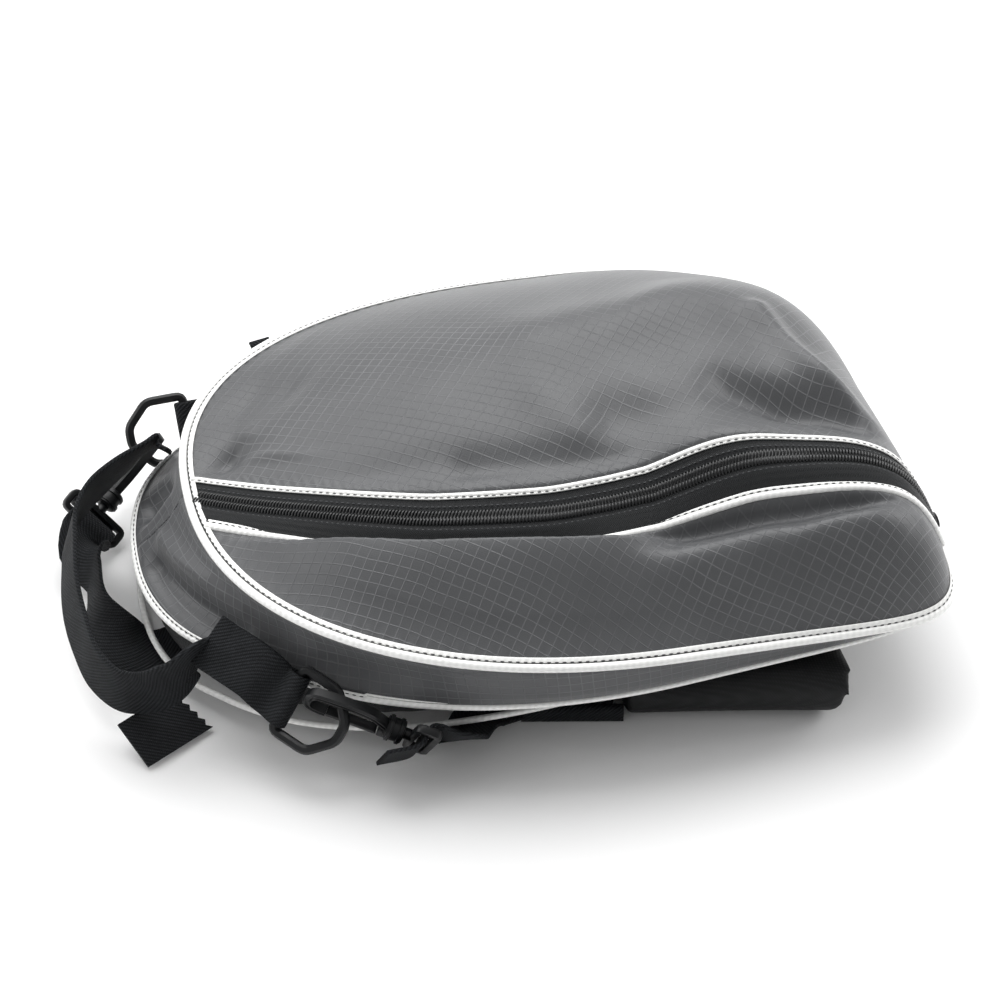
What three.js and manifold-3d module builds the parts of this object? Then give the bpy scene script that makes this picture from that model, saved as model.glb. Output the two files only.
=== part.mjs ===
// Soft egg-shaped ball bag lying on its back, with an S-shaped zip, a haul handle,
// two ring-and-hook shoulder straps and folded shoulder pads under its wide end.
// Millimetres. +X runs from the handle end to the wide end, +Y away from the near side, +Z up.
import * as THREE from 'three';
import { mergeVertices } from 'three/addons/utils/BufferGeometryUtils.js';
import Module from 'manifold-3d';

const wasm = await Module();
wasm.setup();

// Sizes of the bag body
const BAG_LENGTH = 325;
const WIDEST_SHARE = 0.594;
const FAR_HALF = 133;
const NEAR_HALF = 143;
const HANDLE_FAR_POWER = 2.4;
const HANDLE_NEAR_POWER = 2.2;
const FAR_POWER = 2.6;
const NEAR_POWER = 9;
const RIM_HIGH = 74;
const RIM_DROP = 19.5;
const CLOTH = 2;
const GAP = 0.35;
const ZIP_GAP = 0.6;

// Sizes of the trim
const RIM_BEAD_R = 2.4;
const SEAM_BEAD_R = 1.7;
const BACK_BEAD_R = 1.6;
const ZIP_FAR_BEAD_R = 1.6;
const ZIP_NEAR_BEAD_R = 2.0;
const COIL_WIDTH = 8;
const COIL_HEIGHT = 2.6;
const TAPE = 1.4;
const TAPE_FAR_WIDTH = 4;
const TAPE_NEAR_WIDTH = 7.2;

// Sizes of the back and of what it rests on
const BACK_SHARE = 1.055;
const BACK_HEIGHT_HANDLE = 8;
const BACK_HEIGHT_WIDE = 35;
const PAD_BELLY_INSET = 14;
const PAD_LAYER = 12;
const PAD_FOLD_GAP = 2;
const PAD_WIDTH = 46;

// Sizes of webbing, rings and hooks
const WEBBING = 25;
const WEBBING_THICK = 1.8;
const HANDLE_THICK = 2.2;
const RING_WIDTH = 35.4;
const RING_DEPTH = 32.5;
const RING_BAR = 4.4;
const HOOK_BAR = 4.8;
const HOOK_EYE = 19.8;
const HOOK_LENGTH = 38;
const BARREL_R = 5.2;
const BARREL_LENGTH = 8;
const GATE_THICK = 2.8;
const GATE_WIDTH = 4.4;
const LOOP_WIDTH = 34;
const LOOP_DEPTH = 12;
const LOOP_THICK = 4;

// Numbers of steps along and across each surface
const RIM_STEPS = 48;
const PANEL_STEPS = 26;
const FAR_COLUMNS = 10;
const NEAR_COLUMNS = 7;
const ZIP_STEPS = 22;

const HANDLE_REACH = BAG_LENGTH * WIDEST_SHARE;
const WIDE_REACH = BAG_LENGTH - HANDLE_REACH;
const BACK_LENGTH = BAG_LENGTH * BACK_SHARE;

// Height of the dome over the rim at its crown: share of the length, share of the dome height
const DOME_HEIGHT = 57;
const DOME_ROWS = [
  { along: 0.0, rise: 0.53 },
  { along: 0.22, rise: 0.74 },
  { along: 0.53, rise: 0.95 },
  { along: 0.72, rise: 1.0 },
  { along: 0.87, rise: 0.93 },
  { along: 1.0, rise: 0.84 },
];

// Line of the zip: share of the length, share of the near half width
const ZIP_ROWS = [
  { along: 0.0, across: -0.005 },
  { along: 0.077, across: -0.14 },
  { along: 0.148, across: -0.25 },
  { along: 0.231, across: -0.364 },
  { along: 0.314, across: -0.455 },
  { along: 0.443, across: -0.538 },
  { along: 0.532, across: -0.555 },
  { along: 0.631, across: -0.548 },
  { along: 0.717, across: -0.56 },
  { along: 0.8, across: -0.587 },
  { along: 0.9, across: -0.602 },
  { along: 0.96, across: -0.62 },
  { along: 1.0, across: -0.66 },
];

// Lip of the near lobe beside the zip: distance of its crest from the zip, its height over the dome
// and the depth of the valley at its foot, as shares of the lip's own reach and height
const LIP_REACH = 30;
const LIP_HEIGHT = 12;
const LIP_SPREAD = 24;
const LIP_ROWS = [
  { along: 0.0, away: 0.7, lip: 0.0, valley: 0.0 },
  { along: 0.1, away: 0.66, lip: 0.25, valley: 0.1 },
  { along: 0.2, away: 0.62, lip: 0.8, valley: 0.3 },
  { along: 0.42, away: 0.62, lip: 1.0, valley: 0.3 },
  { along: 0.54, away: 0.7, lip: 0.75, valley: 0.05 },
  { along: 0.7, away: 0.95, lip: 0.35, valley: 0.1 },
  { along: 0.86, away: 1.0, lip: 0.35, valley: 0.3 },
  { along: 0.96, away: 0.85, lip: 0.1, valley: 0.1 },
  { along: 1.0, away: 0.8, lip: 0.0, valley: 0.0 },
];

// Soft dents and folds of the front: place as shares of length and near half width,
// reach along and across the fold as shares of the length, turn in degrees, height as a share of the dome
const FOLD_ROWS = [
  { name: 'wide end crease', along: 0.885, across: -0.22, reach: 0.1, width: 0.028, turn: -62, rise: 0.1 },
  { name: 'valley at crease', along: 0.84, across: -0.33, reach: 0.1, width: 0.035, turn: -30, rise: -0.1 },
  { name: 'tip dimple', along: 0.06, across: 0.12, reach: 0.04, width: 0.03, turn: 20, rise: -0.09 },
  { name: 'handle end hollow', along: 0.12, across: 0.36, reach: 0.07, width: 0.045, turn: 40, rise: -0.06 },
  { name: 'near lobe hollow', along: 0.8, across: -0.86, reach: 0.05, width: 0.03, turn: 20, rise: -0.05 },
  { name: 'far lobe swell', along: 0.62, across: -0.32, reach: 0.16, width: 0.06, turn: -6, rise: 0.045 },
];

// Side wall between the rim and the back seam, and the back's lower edge, by heading from the widest
// point: -1 is the handle end and 1 the wide end. Flares, sag and tuck are shares of SIDE_FLARE and the
// seam's height is a share of RIM_HIGH.
const SIDE_FLARE = 22;
const SIDE_ROWS = [
  { heading: -1.0, flare: 1.25, farFlare: 1.25, seam: 0.5135, sag: -0.12, tuck: -0.05 },
  { heading: -0.97, flare: 0.97, farFlare: 1.08, seam: 0.5135, sag: -0.2, tuck: -0.12 },
  { heading: -0.93, flare: 0.62, farFlare: 0.8, seam: 0.5135, sag: -0.25, tuck: -0.16 },
  { heading: -0.85, flare: 0.26, farFlare: 0.25, seam: 0.5135, sag: -0.25, tuck: -0.18 },
  { heading: -0.7, flare: 0.0, farFlare: 0.0, seam: 0.5, sag: -0.2, tuck: 0.05 },
  { heading: -0.4, flare: -0.25, farFlare: -0.2, seam: 0.5, sag: 0.1, tuck: 0.45 },
  { heading: 0.0, flare: -0.42, farFlare: -0.42, seam: 0.5, sag: 0.1, tuck: 0.7 },
  { heading: 0.6, flare: -0.55, farFlare: -0.55, seam: 0.527, sag: 0.05, tuck: 0.6 },
  { heading: 1.0, flare: -0.6, farFlare: -0.6, seam: 0.5676, sag: 0.0, tuck: 0.5 },
];

function blendRows(rows, key, at, column) {
  // Smooth curve through a table's rows, flat past both ends
  const last = rows.length - 1;
  if (at <= rows[0][key]) return rows[0][column];
  if (at >= rows[last][key]) return rows[last][column];
  let i = 0;
  while (rows[i + 1][key] < at) i += 1;
  const slope = (k) => {
    const a = rows[Math.max(k - 1, 0)];
    const b = rows[Math.min(k + 1, last)];
    return (b[column] - a[column]) / (b[key] - a[key]);
  };
  const span = rows[i + 1][key] - rows[i][key];
  const t = (at - rows[i][key]) / span;
  const start = rows[i][column];
  const end = rows[i + 1][column];
  const rise = slope(i) * span;
  const fall = slope(i + 1) * span;
  const t2 = t * t;
  const t3 = t2 * t;
  return (2 * t3 - 3 * t2 + 1) * start + (t3 - 2 * t2 + t) * rise
    + (3 * t2 - 2 * t3) * end + (t3 - t2) * fall;
}

const clamp = THREE.MathUtils.clamp;
const shareAlong = (x) => (x + HANDLE_REACH) / BAG_LENGTH;

// The egg outline of the rim: power and reach of the quarter that a point lies in
function quarter(x, y) {
  const wide = x > 0;
  const far = y > 0;
  const handle = far ? HANDLE_FAR_POWER : HANDLE_NEAR_POWER;
  const power = wide ? (far ? FAR_POWER : NEAR_POWER) : handle;
  return { power, reach: wide ? WIDE_REACH : HANDLE_REACH, half: far ? FAR_HALF : NEAR_HALF };
}

function rimPlan(angle) {
  const c = Math.cos(angle);
  const s = Math.sin(angle);
  const q = quarter(c, s);
  return {
    x: q.reach * Math.sign(c) * Math.abs(c) ** (2 / q.power),
    y: q.half * Math.sign(s) * Math.abs(s) ** (2 / q.power),
  };
}

const rimHeight = (x) => RIM_HIGH - RIM_DROP * shareAlong(x);

function outwardShare(x, y) {
  const q = quarter(x, y);
  return (Math.abs(x / q.reach) ** q.power + Math.abs(y / q.half) ** q.power) ** (1 / q.power);
}

const zipY = (x) => NEAR_HALF * blendRows(ZIP_ROWS, 'along', shareAlong(x), 'across');

function zipSlope(x) {
  const step = 1;
  return (zipY(x + step) - zipY(x - step)) / (2 * step);
}

const bump = (v) => Math.exp(-v * v);

function smooth(v) {
  const t = clamp(v, 0, 1);
  return t * t * (3 - 2 * t);
}

function relief(x, y) {
  const along = shareAlong(x);
  const away = (y - zipY(x)) / Math.hypot(1, zipSlope(x));
  const crest = LIP_REACH * blendRows(LIP_ROWS, 'along', along, 'away');
  const lip = LIP_HEIGHT * blendRows(LIP_ROWS, 'along', along, 'lip');
  const valley = LIP_HEIGHT * blendRows(LIP_ROWS, 'along', along, 'valley');
  const foot = COIL_WIDTH / 2 + TAPE_NEAR_WIDTH + ZIP_NEAR_BEAD_R;
  const climb = smooth((-away - foot) / (crest - foot));
  const dip = smooth((-away - COIL_WIDTH / 2) / (foot - COIL_WIDTH / 2));
  const past = Math.max(-away - crest, 0) / LIP_SPREAD;
  let height = lip * climb * bump(past) - valley * dip * (1 - climb);
  for (const fold of FOLD_ROWS) {
    const turn = THREE.MathUtils.degToRad(fold.turn);
    const dx = x + HANDLE_REACH - fold.along * BAG_LENGTH;
    const dy = y - fold.across * NEAR_HALF;
    const u = (dx * Math.cos(turn) + dy * Math.sin(turn)) / (fold.reach * BAG_LENGTH);
    const v = (dy * Math.cos(turn) - dx * Math.sin(turn)) / (fold.width * BAG_LENGTH);
    height += fold.rise * DOME_HEIGHT * bump(u) * bump(v);
  }
  return height;
}

function frontHeight(x, y) {
  // Dome over the rim, gentle at the handle end and far side, plump at the wide end
  const out = clamp(outwardShare(x, y), 0, 1);
  const wide = clamp(x / WIDE_REACH, 0, 1) / Math.max(out, 0.001);
  const near = clamp(-y / (0.42 * NEAR_HALF), 0, 1);
  const away = clamp(y / (0.5 * FAR_HALF), 0, 1);
  const fullness = 1.85 + 4 * wide ** (3 + 3 * away) + 3 * wide ** 1.5 * near;
  const crown = DOME_HEIGHT * blendRows(DOME_ROWS, 'along', shareAlong(x), 'rise');
  const cover = (1 - out ** fullness) ** (1 - 0.25 * wide);
  const ease = clamp((1 - out) / 0.12, 0, 1);
  return rimHeight(x) + crown * cover + relief(x, y) * ease;
}

const frontPoint = (x, y) => new THREE.Vector3(x, y, frontHeight(x, y));
const sunk = (p, depth) => p.clone().addScaledVector(frontNormal(p.x, p.y), -depth);

function frontNormal(x, y) {
  const step = 0.4;
  const pull = Math.min(1, 0.997 / Math.max(outwardShare(x, y), 0.001));
  const px = x * pull;
  const py = y * pull;
  const gx = (frontHeight(px + step, py) - frontHeight(px - step, py)) / (2 * step);
  const gy = (frontHeight(px, py + step) - frontHeight(px, py - step)) / (2 * step);
  return new THREE.Vector3(-gx, -gy, 1).normalize();
}

// Meshes from rings of points
function geometryFrom(points, faces) {
  const geometry = new THREE.BufferGeometry();
  const flat = new Float32Array(points.flatMap((p) => [p.x, p.y, p.z]));
  geometry.setAttribute('position', new THREE.BufferAttribute(flat, 3));
  geometry.setIndex(faces);
  return geometry;
}

function capFaces(points, ring, offset, flip, faces) {
  const middle = new THREE.Vector3();
  ring.forEach((p) => middle.add(p));
  middle.divideScalar(ring.length);
  const hub = points.length;
  points.push(middle);
  for (let j = 0; j < ring.length; j += 1) {
    const a = offset + j;
    const b = offset + ((j + 1) % ring.length);
    if (flip) faces.push(hub, b, a);
    else faces.push(hub, a, b);
  }
}

function loft(rings, closed) {
  // Skin over rings of equal counts, capped at both ends unless it closes on itself
  const count = rings[0].length;
  const points = rings.flat();
  const faces = [];
  const spans = closed ? rings.length : rings.length - 1;
  for (let i = 0; i < spans; i += 1) {
    const here = i * count;
    const next = ((i + 1) % rings.length) * count;
    for (let j = 0; j < count; j += 1) {
      const k = (j + 1) % count;
      faces.push(here + j, here + k, next + k, here + j, next + k, next + j);
    }
  }
  if (!closed) {
    capFaces(points, rings[0], 0, true, faces);
    capFaces(points, rings.at(-1), (rings.length - 1) * count, false, faces);
  }
  return outwards(geometryFrom(points, faces));
}

function shell(outer, inner) {
  // Cloth wall between two grids of points
  const rows = outer.length;
  const columns = outer[0].length;
  const points = [...outer.flat(), ...inner.flat()];
  const faces = [];
  const top = (i, j) => i * columns + j;
  const under = (i, j) => rows * columns + i * columns + j;
  const quad = (a, b, c, d) => faces.push(a, b, c, a, c, d);
  for (let i = 0; i < rows - 1; i += 1) {
    for (let j = 0; j < columns - 1; j += 1) {
      quad(top(i, j), top(i, j + 1), top(i + 1, j + 1), top(i + 1, j));
      quad(under(i, j), under(i + 1, j), under(i + 1, j + 1), under(i, j + 1));
    }
    quad(top(i, 0), top(i + 1, 0), under(i + 1, 0), under(i, 0));
    quad(top(i + 1, columns - 1), top(i, columns - 1), under(i, columns - 1), under(i + 1, columns - 1));
  }
  for (let j = 0; j < columns - 1; j += 1) {
    quad(top(0, j + 1), top(0, j), under(0, j), under(0, j + 1));
    quad(top(rows - 1, j), top(rows - 1, j + 1), under(rows - 1, j + 1), under(rows - 1, j));
  }
  return outwards(geometryFrom(points, faces));
}

function outwards(geometry) {
  // Turns the faces over where they enclose a negative volume
  const p = geometry.attributes.position;
  const index = geometry.index;
  const corner = [new THREE.Vector3(), new THREE.Vector3(), new THREE.Vector3()];
  let volume = 0;
  for (let i = 0; i < index.count; i += 3) {
    for (let k = 0; k < 3; k += 1) corner[k].fromBufferAttribute(p, index.getX(i + k));
    volume += corner[0].dot(corner[1].clone().cross(corner[2]));
  }
  if (volume < 0) {
    for (let i = 0; i < index.count; i += 3) {
      const first = index.getX(i);
      index.setX(i, index.getX(i + 1));
      index.setX(i + 1, first);
    }
  }
  return geometry;
}

function disc(radius, sides, squash = 1) {
  // Round section in its own two directions
  return Array.from({ length: sides }, (_, k) => {
    const angle = (2 * Math.PI * (k + 0.5)) / sides;
    return { u: radius * Math.cos(angle), v: radius * squash * Math.sin(angle) };
  });
}

function slab(width, thick) {
  // Flat webbing section with softened edges
  const w = width / 2;
  const t = thick / 2;
  const soft = Math.min(t, 0.6);
  return [
    { u: -w, v: -t + soft },
    { u: -w + soft, v: -t },
    { u: w - soft, v: -t },
    { u: w, v: -t + soft },
    { u: w, v: t - soft },
    { u: w - soft, v: t },
    { u: -w + soft, v: t },
    { u: -w, v: t - soft },
  ];
}

function sweep(centres, across, section, closed) {
  // Section carried along a path; across gives the section's first direction at each point
  const n = centres.length;
  const rings = centres.map((centre, i) => {
    const before = centres[closed ? (i + n - 1) % n : Math.max(i - 1, 0)];
    const after = centres[closed ? (i + 1) % n : Math.min(i + 1, n - 1)];
    const tangent = after.clone().sub(before).normalize();
    const side = across[i].clone().addScaledVector(tangent, -across[i].dot(tangent)).normalize();
    const up = tangent.clone().cross(side);
    return section.map((s) => centre.clone().addScaledVector(side, s.u).addScaledVector(up, s.v));
  });
  return loft(rings, closed);
}

// The lines that the pieces of the body share
const rimAngles = Array.from({ length: 720 }, (_, k) => (2 * Math.PI * k) / 720);
const rimLoop = rimAngles.map((angle) => {
  const p = rimPlan(angle);
  return new THREE.Vector3(p.x, p.y, rimHeight(p.x));
});

function spaced(points, count, closed) {
  // Points at equal distances along a line through the given points
  const loop = closed ? [...points, points[0]] : points;
  const lengths = [0];
  for (let i = 1; i < loop.length; i += 1) lengths.push(lengths[i - 1] + loop[i].distanceTo(loop[i - 1]));
  const total = lengths.at(-1);
  const steps = closed ? count : count - 1;
  const result = [];
  let i = 0;
  for (let k = 0; k < count; k += 1) {
    const target = Math.min((total * k) / steps, total);
    while (i < loop.length - 2 && lengths[i + 1] < target) i += 1;
    const t = (target - lengths[i]) / (lengths[i + 1] - lengths[i]);
    result.push(loop[i].clone().lerp(loop[i + 1], clamp(t, 0, 1)));
  }
  return result;
}

function planOutward(points, i) {
  // Level direction out of a closed outline at one of its points
  const n = points.length;
  const tangent = points[(i + 1) % n].clone().sub(points[(i + n - 1) % n]);
  return new THREE.Vector3(tangent.y, -tangent.x, 0).normalize();
}

function frontEdge(rimPoint, distance) {
  // Point of the front surface at a distance inside the rim
  let low = 0.6;
  let high = 1;
  for (let k = 0; k < 40; k += 1) {
    const share = (low + high) / 2;
    const p = frontPoint(rimPoint.x * share, rimPoint.y * share);
    if (p.distanceTo(rimPoint) > distance) low = share;
    else high = share;
  }
  return { x: rimPoint.x * low, y: rimPoint.y * low };
}

function zipLine(away, margin) {
  // Line on the front surface beside the zip, cut off where it nears the rim
  const found = [];
  const samples = 900;
  for (let k = 0; k <= samples; k += 1) {
    const x = -HANDLE_REACH + (BAG_LENGTH * k) / samples;
    const slope = zipSlope(x);
    const size = Math.hypot(1, slope);
    const px = x - (slope / size) * away;
    const py = zipY(x) + away / size;
    if (outwardShare(px, py) < 0.9995) {
      const rim = new THREE.Vector3(px, py, 0).divideScalar(outwardShare(px, py));
      rim.z = rimHeight(rim.x);
      const point = frontPoint(px, py);
      if (point.distanceTo(rim) > margin) found.push(point);
    }
  }
  return found;
}

const material = (color, roughness) => new THREE.MeshStandardMaterial({ color, roughness, metalness: 0 });
const RIPSTOP = material(0x6e7072, 0.6);
const PIPING = material(0xf2f2f0, 0.35);
const ZIP_BLACK = material(0x17181a, 0.4);
const WEBBING_BLACK = material(0x1b1c1e, 0.8);
const NYLON_BLACK = material(0x151618, 0.5);
const MESH_BLACK = material(0x202224, 0.85);
const PLASTIC_BLACK = material(0x1d1e20, 0.45);

const bag = new THREE.Group();

function add(name, geometry, finish) {
  const mesh = new THREE.Mesh(geometry, finish);
  mesh.name = name;
  bag.add(mesh);
  return mesh;
}

// Zip slider, closing the wide end of the coil
const SLIDER = { length: 11, width: 8.4, thick: 4.4, soft: 2 };

function placedFrame(origin, alongAxis, acrossHint) {
  // Frame with its first axis along the given direction and its second near the hint
  const x = alongAxis.clone().normalize();
  const y = acrossHint.clone().addScaledVector(x, -acrossHint.dot(x)).normalize();
  const z = x.clone().cross(y);
  return new THREE.Matrix4().makeBasis(x, y, z).setPosition(origin);
}

function softBlock(length, width, thick, soft) {
  const outline = new THREE.Shape();
  const a = length / 2;
  const b = width / 2;
  outline.moveTo(-a + soft, -b);
  outline.lineTo(a - soft, -b);
  outline.lineTo(a, -b + soft);
  outline.lineTo(a, b - soft);
  outline.lineTo(a - soft, b);
  outline.lineTo(-a + soft, b);
  outline.lineTo(-a, b - soft);
  outline.lineTo(-a, -b + soft);
  outline.closePath();
  return new THREE.ExtrudeGeometry(outline, { depth: thick, bevelEnabled: false })
    .translate(0, 0, -thick / 2);
}

// Zip: coil, tapes, beads and slider
const farBeadAt = COIL_WIDTH / 2 + ZIP_GAP + TAPE_FAR_WIDTH + ZIP_GAP + ZIP_FAR_BEAD_R;
const nearBeadAt = COIL_WIDTH / 2 + ZIP_GAP + TAPE_NEAR_WIDTH + ZIP_GAP + ZIP_NEAR_BEAD_R;
const farPanelAt = farBeadAt + ZIP_FAR_BEAD_R + ZIP_GAP;
const nearPanelAt = nearBeadAt + ZIP_NEAR_BEAD_R + 2 * ZIP_GAP;
const panelEdge = RIM_BEAD_R + GAP;

function zipSweep(away, section, lift, halfWidth, cut = 0) {
  const whole = zipLine(away, panelEdge + ZIP_GAP + 0.8 * halfWidth);
  const line = spaced(whole.filter((p) => p.distanceTo(whole.at(-1)) > cut || p.x < 0), ZIP_STEPS, false);
  const normals = line.map((p) => frontNormal(p.x, p.y));
  const centres = line.map((p, i) => p.clone().addScaledVector(normals[i], lift));
  const across = centres.map((p, i) => {
    const tangent = centres[Math.min(i + 1, ZIP_STEPS - 1)].clone().sub(centres[Math.max(i - 1, 0)]);
    return normals[i].clone().cross(tangent).normalize();
  });
  return sweep(centres, across, section, false);
}

function zipBand(from, to, thick, crown) {
  // Strip of tape between two lines beside the zip, raised by crown along its middle
  const columns = 4;
  const lines = [];
  for (let j = 0; j <= columns; j += 1) {
    const share = j / columns;
    const line = spaced(zipLine(from + (to - from) * share, panelEdge + ZIP_GAP), ZIP_STEPS, false);
    const rise = crown * 4 * share * (1 - share);
    lines.push(line.map((p) => sunk(p, -rise)));
  }
  const outer = lines[0].map((_, i) => lines.map((line) => line[i]));
  const inner = outer.map((row) => row.map((p) => sunk(p, thick)));
  return shell(outer, inner);
}

const coilSection = [
  { u: -COIL_WIDTH / 2, v: -COIL_HEIGHT / 2 },
  { u: COIL_WIDTH / 2, v: -COIL_HEIGHT / 2 },
  { u: COIL_WIDTH / 2, v: COIL_HEIGHT * 0.1 },
  { u: COIL_WIDTH * 0.3, v: COIL_HEIGHT / 2 },
  { u: -COIL_WIDTH * 0.3, v: COIL_HEIGHT / 2 },
  { u: -COIL_WIDTH / 2, v: COIL_HEIGHT * 0.1 },
];
const tapeStart = COIL_WIDTH / 2 + ZIP_GAP;
add('zip_coil', zipSweep(0, coilSection, 0, COIL_WIDTH / 2, SLIDER.length + 2 * GAP), ZIP_BLACK);
add('zip_tape_far', zipBand(tapeStart, tapeStart + TAPE_FAR_WIDTH, TAPE, 0), ZIP_BLACK);
add('zip_tape_near', zipBand(-tapeStart, -tapeStart - TAPE_NEAR_WIDTH, TAPE, 0.8), ZIP_BLACK);
add('zip_piping_far', zipSweep(farBeadAt, disc(ZIP_FAR_BEAD_R, 7), 0, ZIP_FAR_BEAD_R), PIPING);
add('zip_piping_near', zipSweep(-nearBeadAt, disc(ZIP_NEAR_BEAD_R, 7), 0, ZIP_NEAR_BEAD_R), PIPING);

const sliderLine = zipLine(0, panelEdge + ZIP_GAP + 0.4 * COIL_WIDTH);
const sliderEnd = sliderLine.at(-1);
const sliderStart = sliderLine.findLast((p) => p.distanceTo(sliderEnd) > SLIDER.length);
const sliderNormal = frontNormal(sliderEnd.x, sliderEnd.y).add(frontNormal(sliderStart.x, sliderStart.y));
const sliderRun = sliderEnd.clone().sub(sliderStart);
const sliderMiddle = sliderEnd.clone().lerp(sliderStart, 0.5);
add('zip_slider', softBlock(SLIDER.length, SLIDER.width, SLIDER.thick, SLIDER.soft), PLASTIC_BLACK)
  .applyMatrix4(placedFrame(sliderMiddle, sliderRun, sliderNormal.cross(sliderRun)));

// Front panels
function panel(away, startAngle, endAngle, columns, crowding) {
  const zipEdge = spaced(zipLine(away, panelEdge + ZIP_GAP), PANEL_STEPS + 1, false);
  const rimArc = [];
  const samples = 400;
  for (let k = 0; k <= samples; k += 1) {
    const p = rimPlan(startAngle + ((endAngle - startAngle) * k) / samples);
    rimArc.push(new THREE.Vector3(p.x, p.y, rimHeight(p.x)));
  }
  const rimSpaced = spaced(rimArc, PANEL_STEPS + 1, false);
  const outer = zipEdge.map((start, i) => {
    const end = frontEdge(rimSpaced[i], panelEdge + ZIP_GAP);
    return Array.from({ length: columns + 1 }, (_, j) => {
      const share = 1 - (1 - j / columns) ** crowding;
      return frontPoint(start.x + (end.x - start.x) * share, start.y + (end.y - start.y) * share);
    });
  });
  const inner = outer.map((row) => row.map((p) => sunk(p, CLOTH)));
  return shell(outer, inner);
}

function angleWhere(away, atStart, shift) {
  // Rim angle beside the end of a line along the zip, moved along the rim by shift
  const line = zipLine(away, panelEdge + ZIP_GAP);
  const end = atStart ? line[0] : line.at(-1);
  let best = 0;
  let least = Infinity;
  rimLoop.forEach((p, k) => {
    const distance = Math.hypot(p.x - end.x, p.y - end.y);
    if (distance < least) {
      least = distance;
      best = k;
    }
  });
  let travelled = 0;
  let k = best;
  const step = Math.sign(shift);
  while (travelled < Math.abs(shift)) {
    const next = (k + step + rimLoop.length) % rimLoop.length;
    travelled += rimLoop[k].distanceTo(rimLoop[next]);
    k = next;
  }
  return rimAngles[k];
}

const CORNER_SHIFT = 4;
const farStart = angleWhere(farPanelAt, true, -CORNER_SHIFT);
const farEnd = angleWhere(farPanelAt, false, CORNER_SHIFT) - 2 * Math.PI;
const nearStart = angleWhere(-nearPanelAt, true, CORNER_SHIFT);
const nearEnd = angleWhere(-nearPanelAt, false, -CORNER_SHIFT);
add('front_panel_far', panel(farPanelAt, farStart, farEnd, FAR_COLUMNS, 1.7), RIPSTOP);
add('front_panel_near', panel(-nearPanelAt, nearStart, nearEnd, NEAR_COLUMNS, 1.25), RIPSTOP);

// Rim bead, side wall and back seam bead
const rim = spaced(rimLoop, RIM_STEPS, true);
const rimOut = rim.map((_, i) => planOutward(rim, i));
add('rim_piping', sweep(rim, rimOut, disc(RIM_BEAD_R, 8), true), PIPING);

const headings = rim.map((p) => p.x / (p.x > 0 ? WIDE_REACH : HANDLE_REACH));
const seam = rim.map((p, i) => {
  const flare = SIDE_FLARE * blendRows(SIDE_ROWS, 'heading', headings[i], p.y > 0 ? 'farFlare' : 'flare');
  const point = p.clone().addScaledVector(rimOut[i], flare);
  point.z = RIM_HIGH * blendRows(SIDE_ROWS, 'heading', headings[i], 'seam');
  return point;
});
const SIDE_LEVELS = 4;
const sideRings = rim.map((top, i) => {
  const low = seam[i];
  const down = low.clone().sub(top).normalize();
  const start = top.clone().addScaledVector(down, RIM_BEAD_R + GAP);
  const end = low.clone().addScaledVector(down, -SEAM_BEAD_R - GAP);
  const sag = SIDE_FLARE * blendRows(SIDE_ROWS, 'heading', headings[i], 'sag');
  const tangent = rim[(i + 1) % rim.length].clone().sub(rim[(i + rim.length - 1) % rim.length]).normalize();
  const out = tangent.clone().cross(down).normalize();
  if (out.dot(rimOut[i]) < 0) out.negate();
  const outer = [];
  const inner = [];
  for (let k = 0; k <= SIDE_LEVELS; k += 1) {
    const share = k / SIDE_LEVELS;
    const p = start.clone().lerp(end, share).addScaledVector(out, sag * Math.sin(Math.PI * share));
    outer.push(p);
    inner.unshift(p.clone().addScaledVector(out, -CLOTH));
  }
  return [...outer, ...inner];
});
add('side_gusset', loft(sideRings, true), RIPSTOP);
add('seam_piping', sweep(seam, rimOut, disc(SEAM_BEAD_R, 5), true), PIPING);

// Padded back panel and its lower bead
const backHeight = (x) => BACK_HEIGHT_HANDLE
  + (BACK_HEIGHT_WIDE - BACK_HEIGHT_HANDLE) * ((x + HANDLE_REACH + BACK_LENGTH - BAG_LENGTH) / BACK_LENGTH);

function backRing(inset, shareOfTuck, heightOf) {
  // Outline of the back, drawn in from the seam line
  return seam.map((p, i) => {
    const tuck = SIDE_FLARE * blendRows(SIDE_ROWS, 'heading', headings[i], 'tuck');
    const q = p.clone().addScaledVector(rimOut[i], -inset - tuck * shareOfTuck);
    q.z = heightOf(q, p);
    return q;
  });
}

const beadSeat = BACK_BEAD_R + ZIP_GAP;
const backTop = (q, p) => p.z - SEAM_BEAD_R - GAP;
const backRings = [
  backRing(PAD_BELLY_INSET, 0, (q, p) => backTop(q, p) - 0.4),
  backRing(1, 0, backTop),
  backRing(0.4, 0.5, (q, p) => (p.z + backHeight(q.x)) / 2 + 1),
  backRing(1 + beadSeat, 1, (q) => backHeight(q.x) + 2 * BACK_BEAD_R + 0.6),
  backRing(1 + beadSeat, 1, (q) => backHeight(q.x) + 1),
  backRing(1 + beadSeat + PAD_BELLY_INSET, 1, (q) => backHeight(q.x)),
];
const backLine = backRing(1, 1, (q) => backHeight(q.x) + BACK_BEAD_R + 0.4);
add('back_pad', loft(backRings, false), NYLON_BLACK);
add('back_piping', sweep(backLine, rimOut, disc(BACK_BEAD_R, 5), true), PIPING);

// Places as shares of the handle reach, the half width of the side they are on and the rim height
function place(x, y, z) {
  return new THREE.Vector3(x * HANDLE_REACH, y * (y > 0 ? FAR_HALF : NEAR_HALF), z * RIM_HIGH);
}

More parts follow.
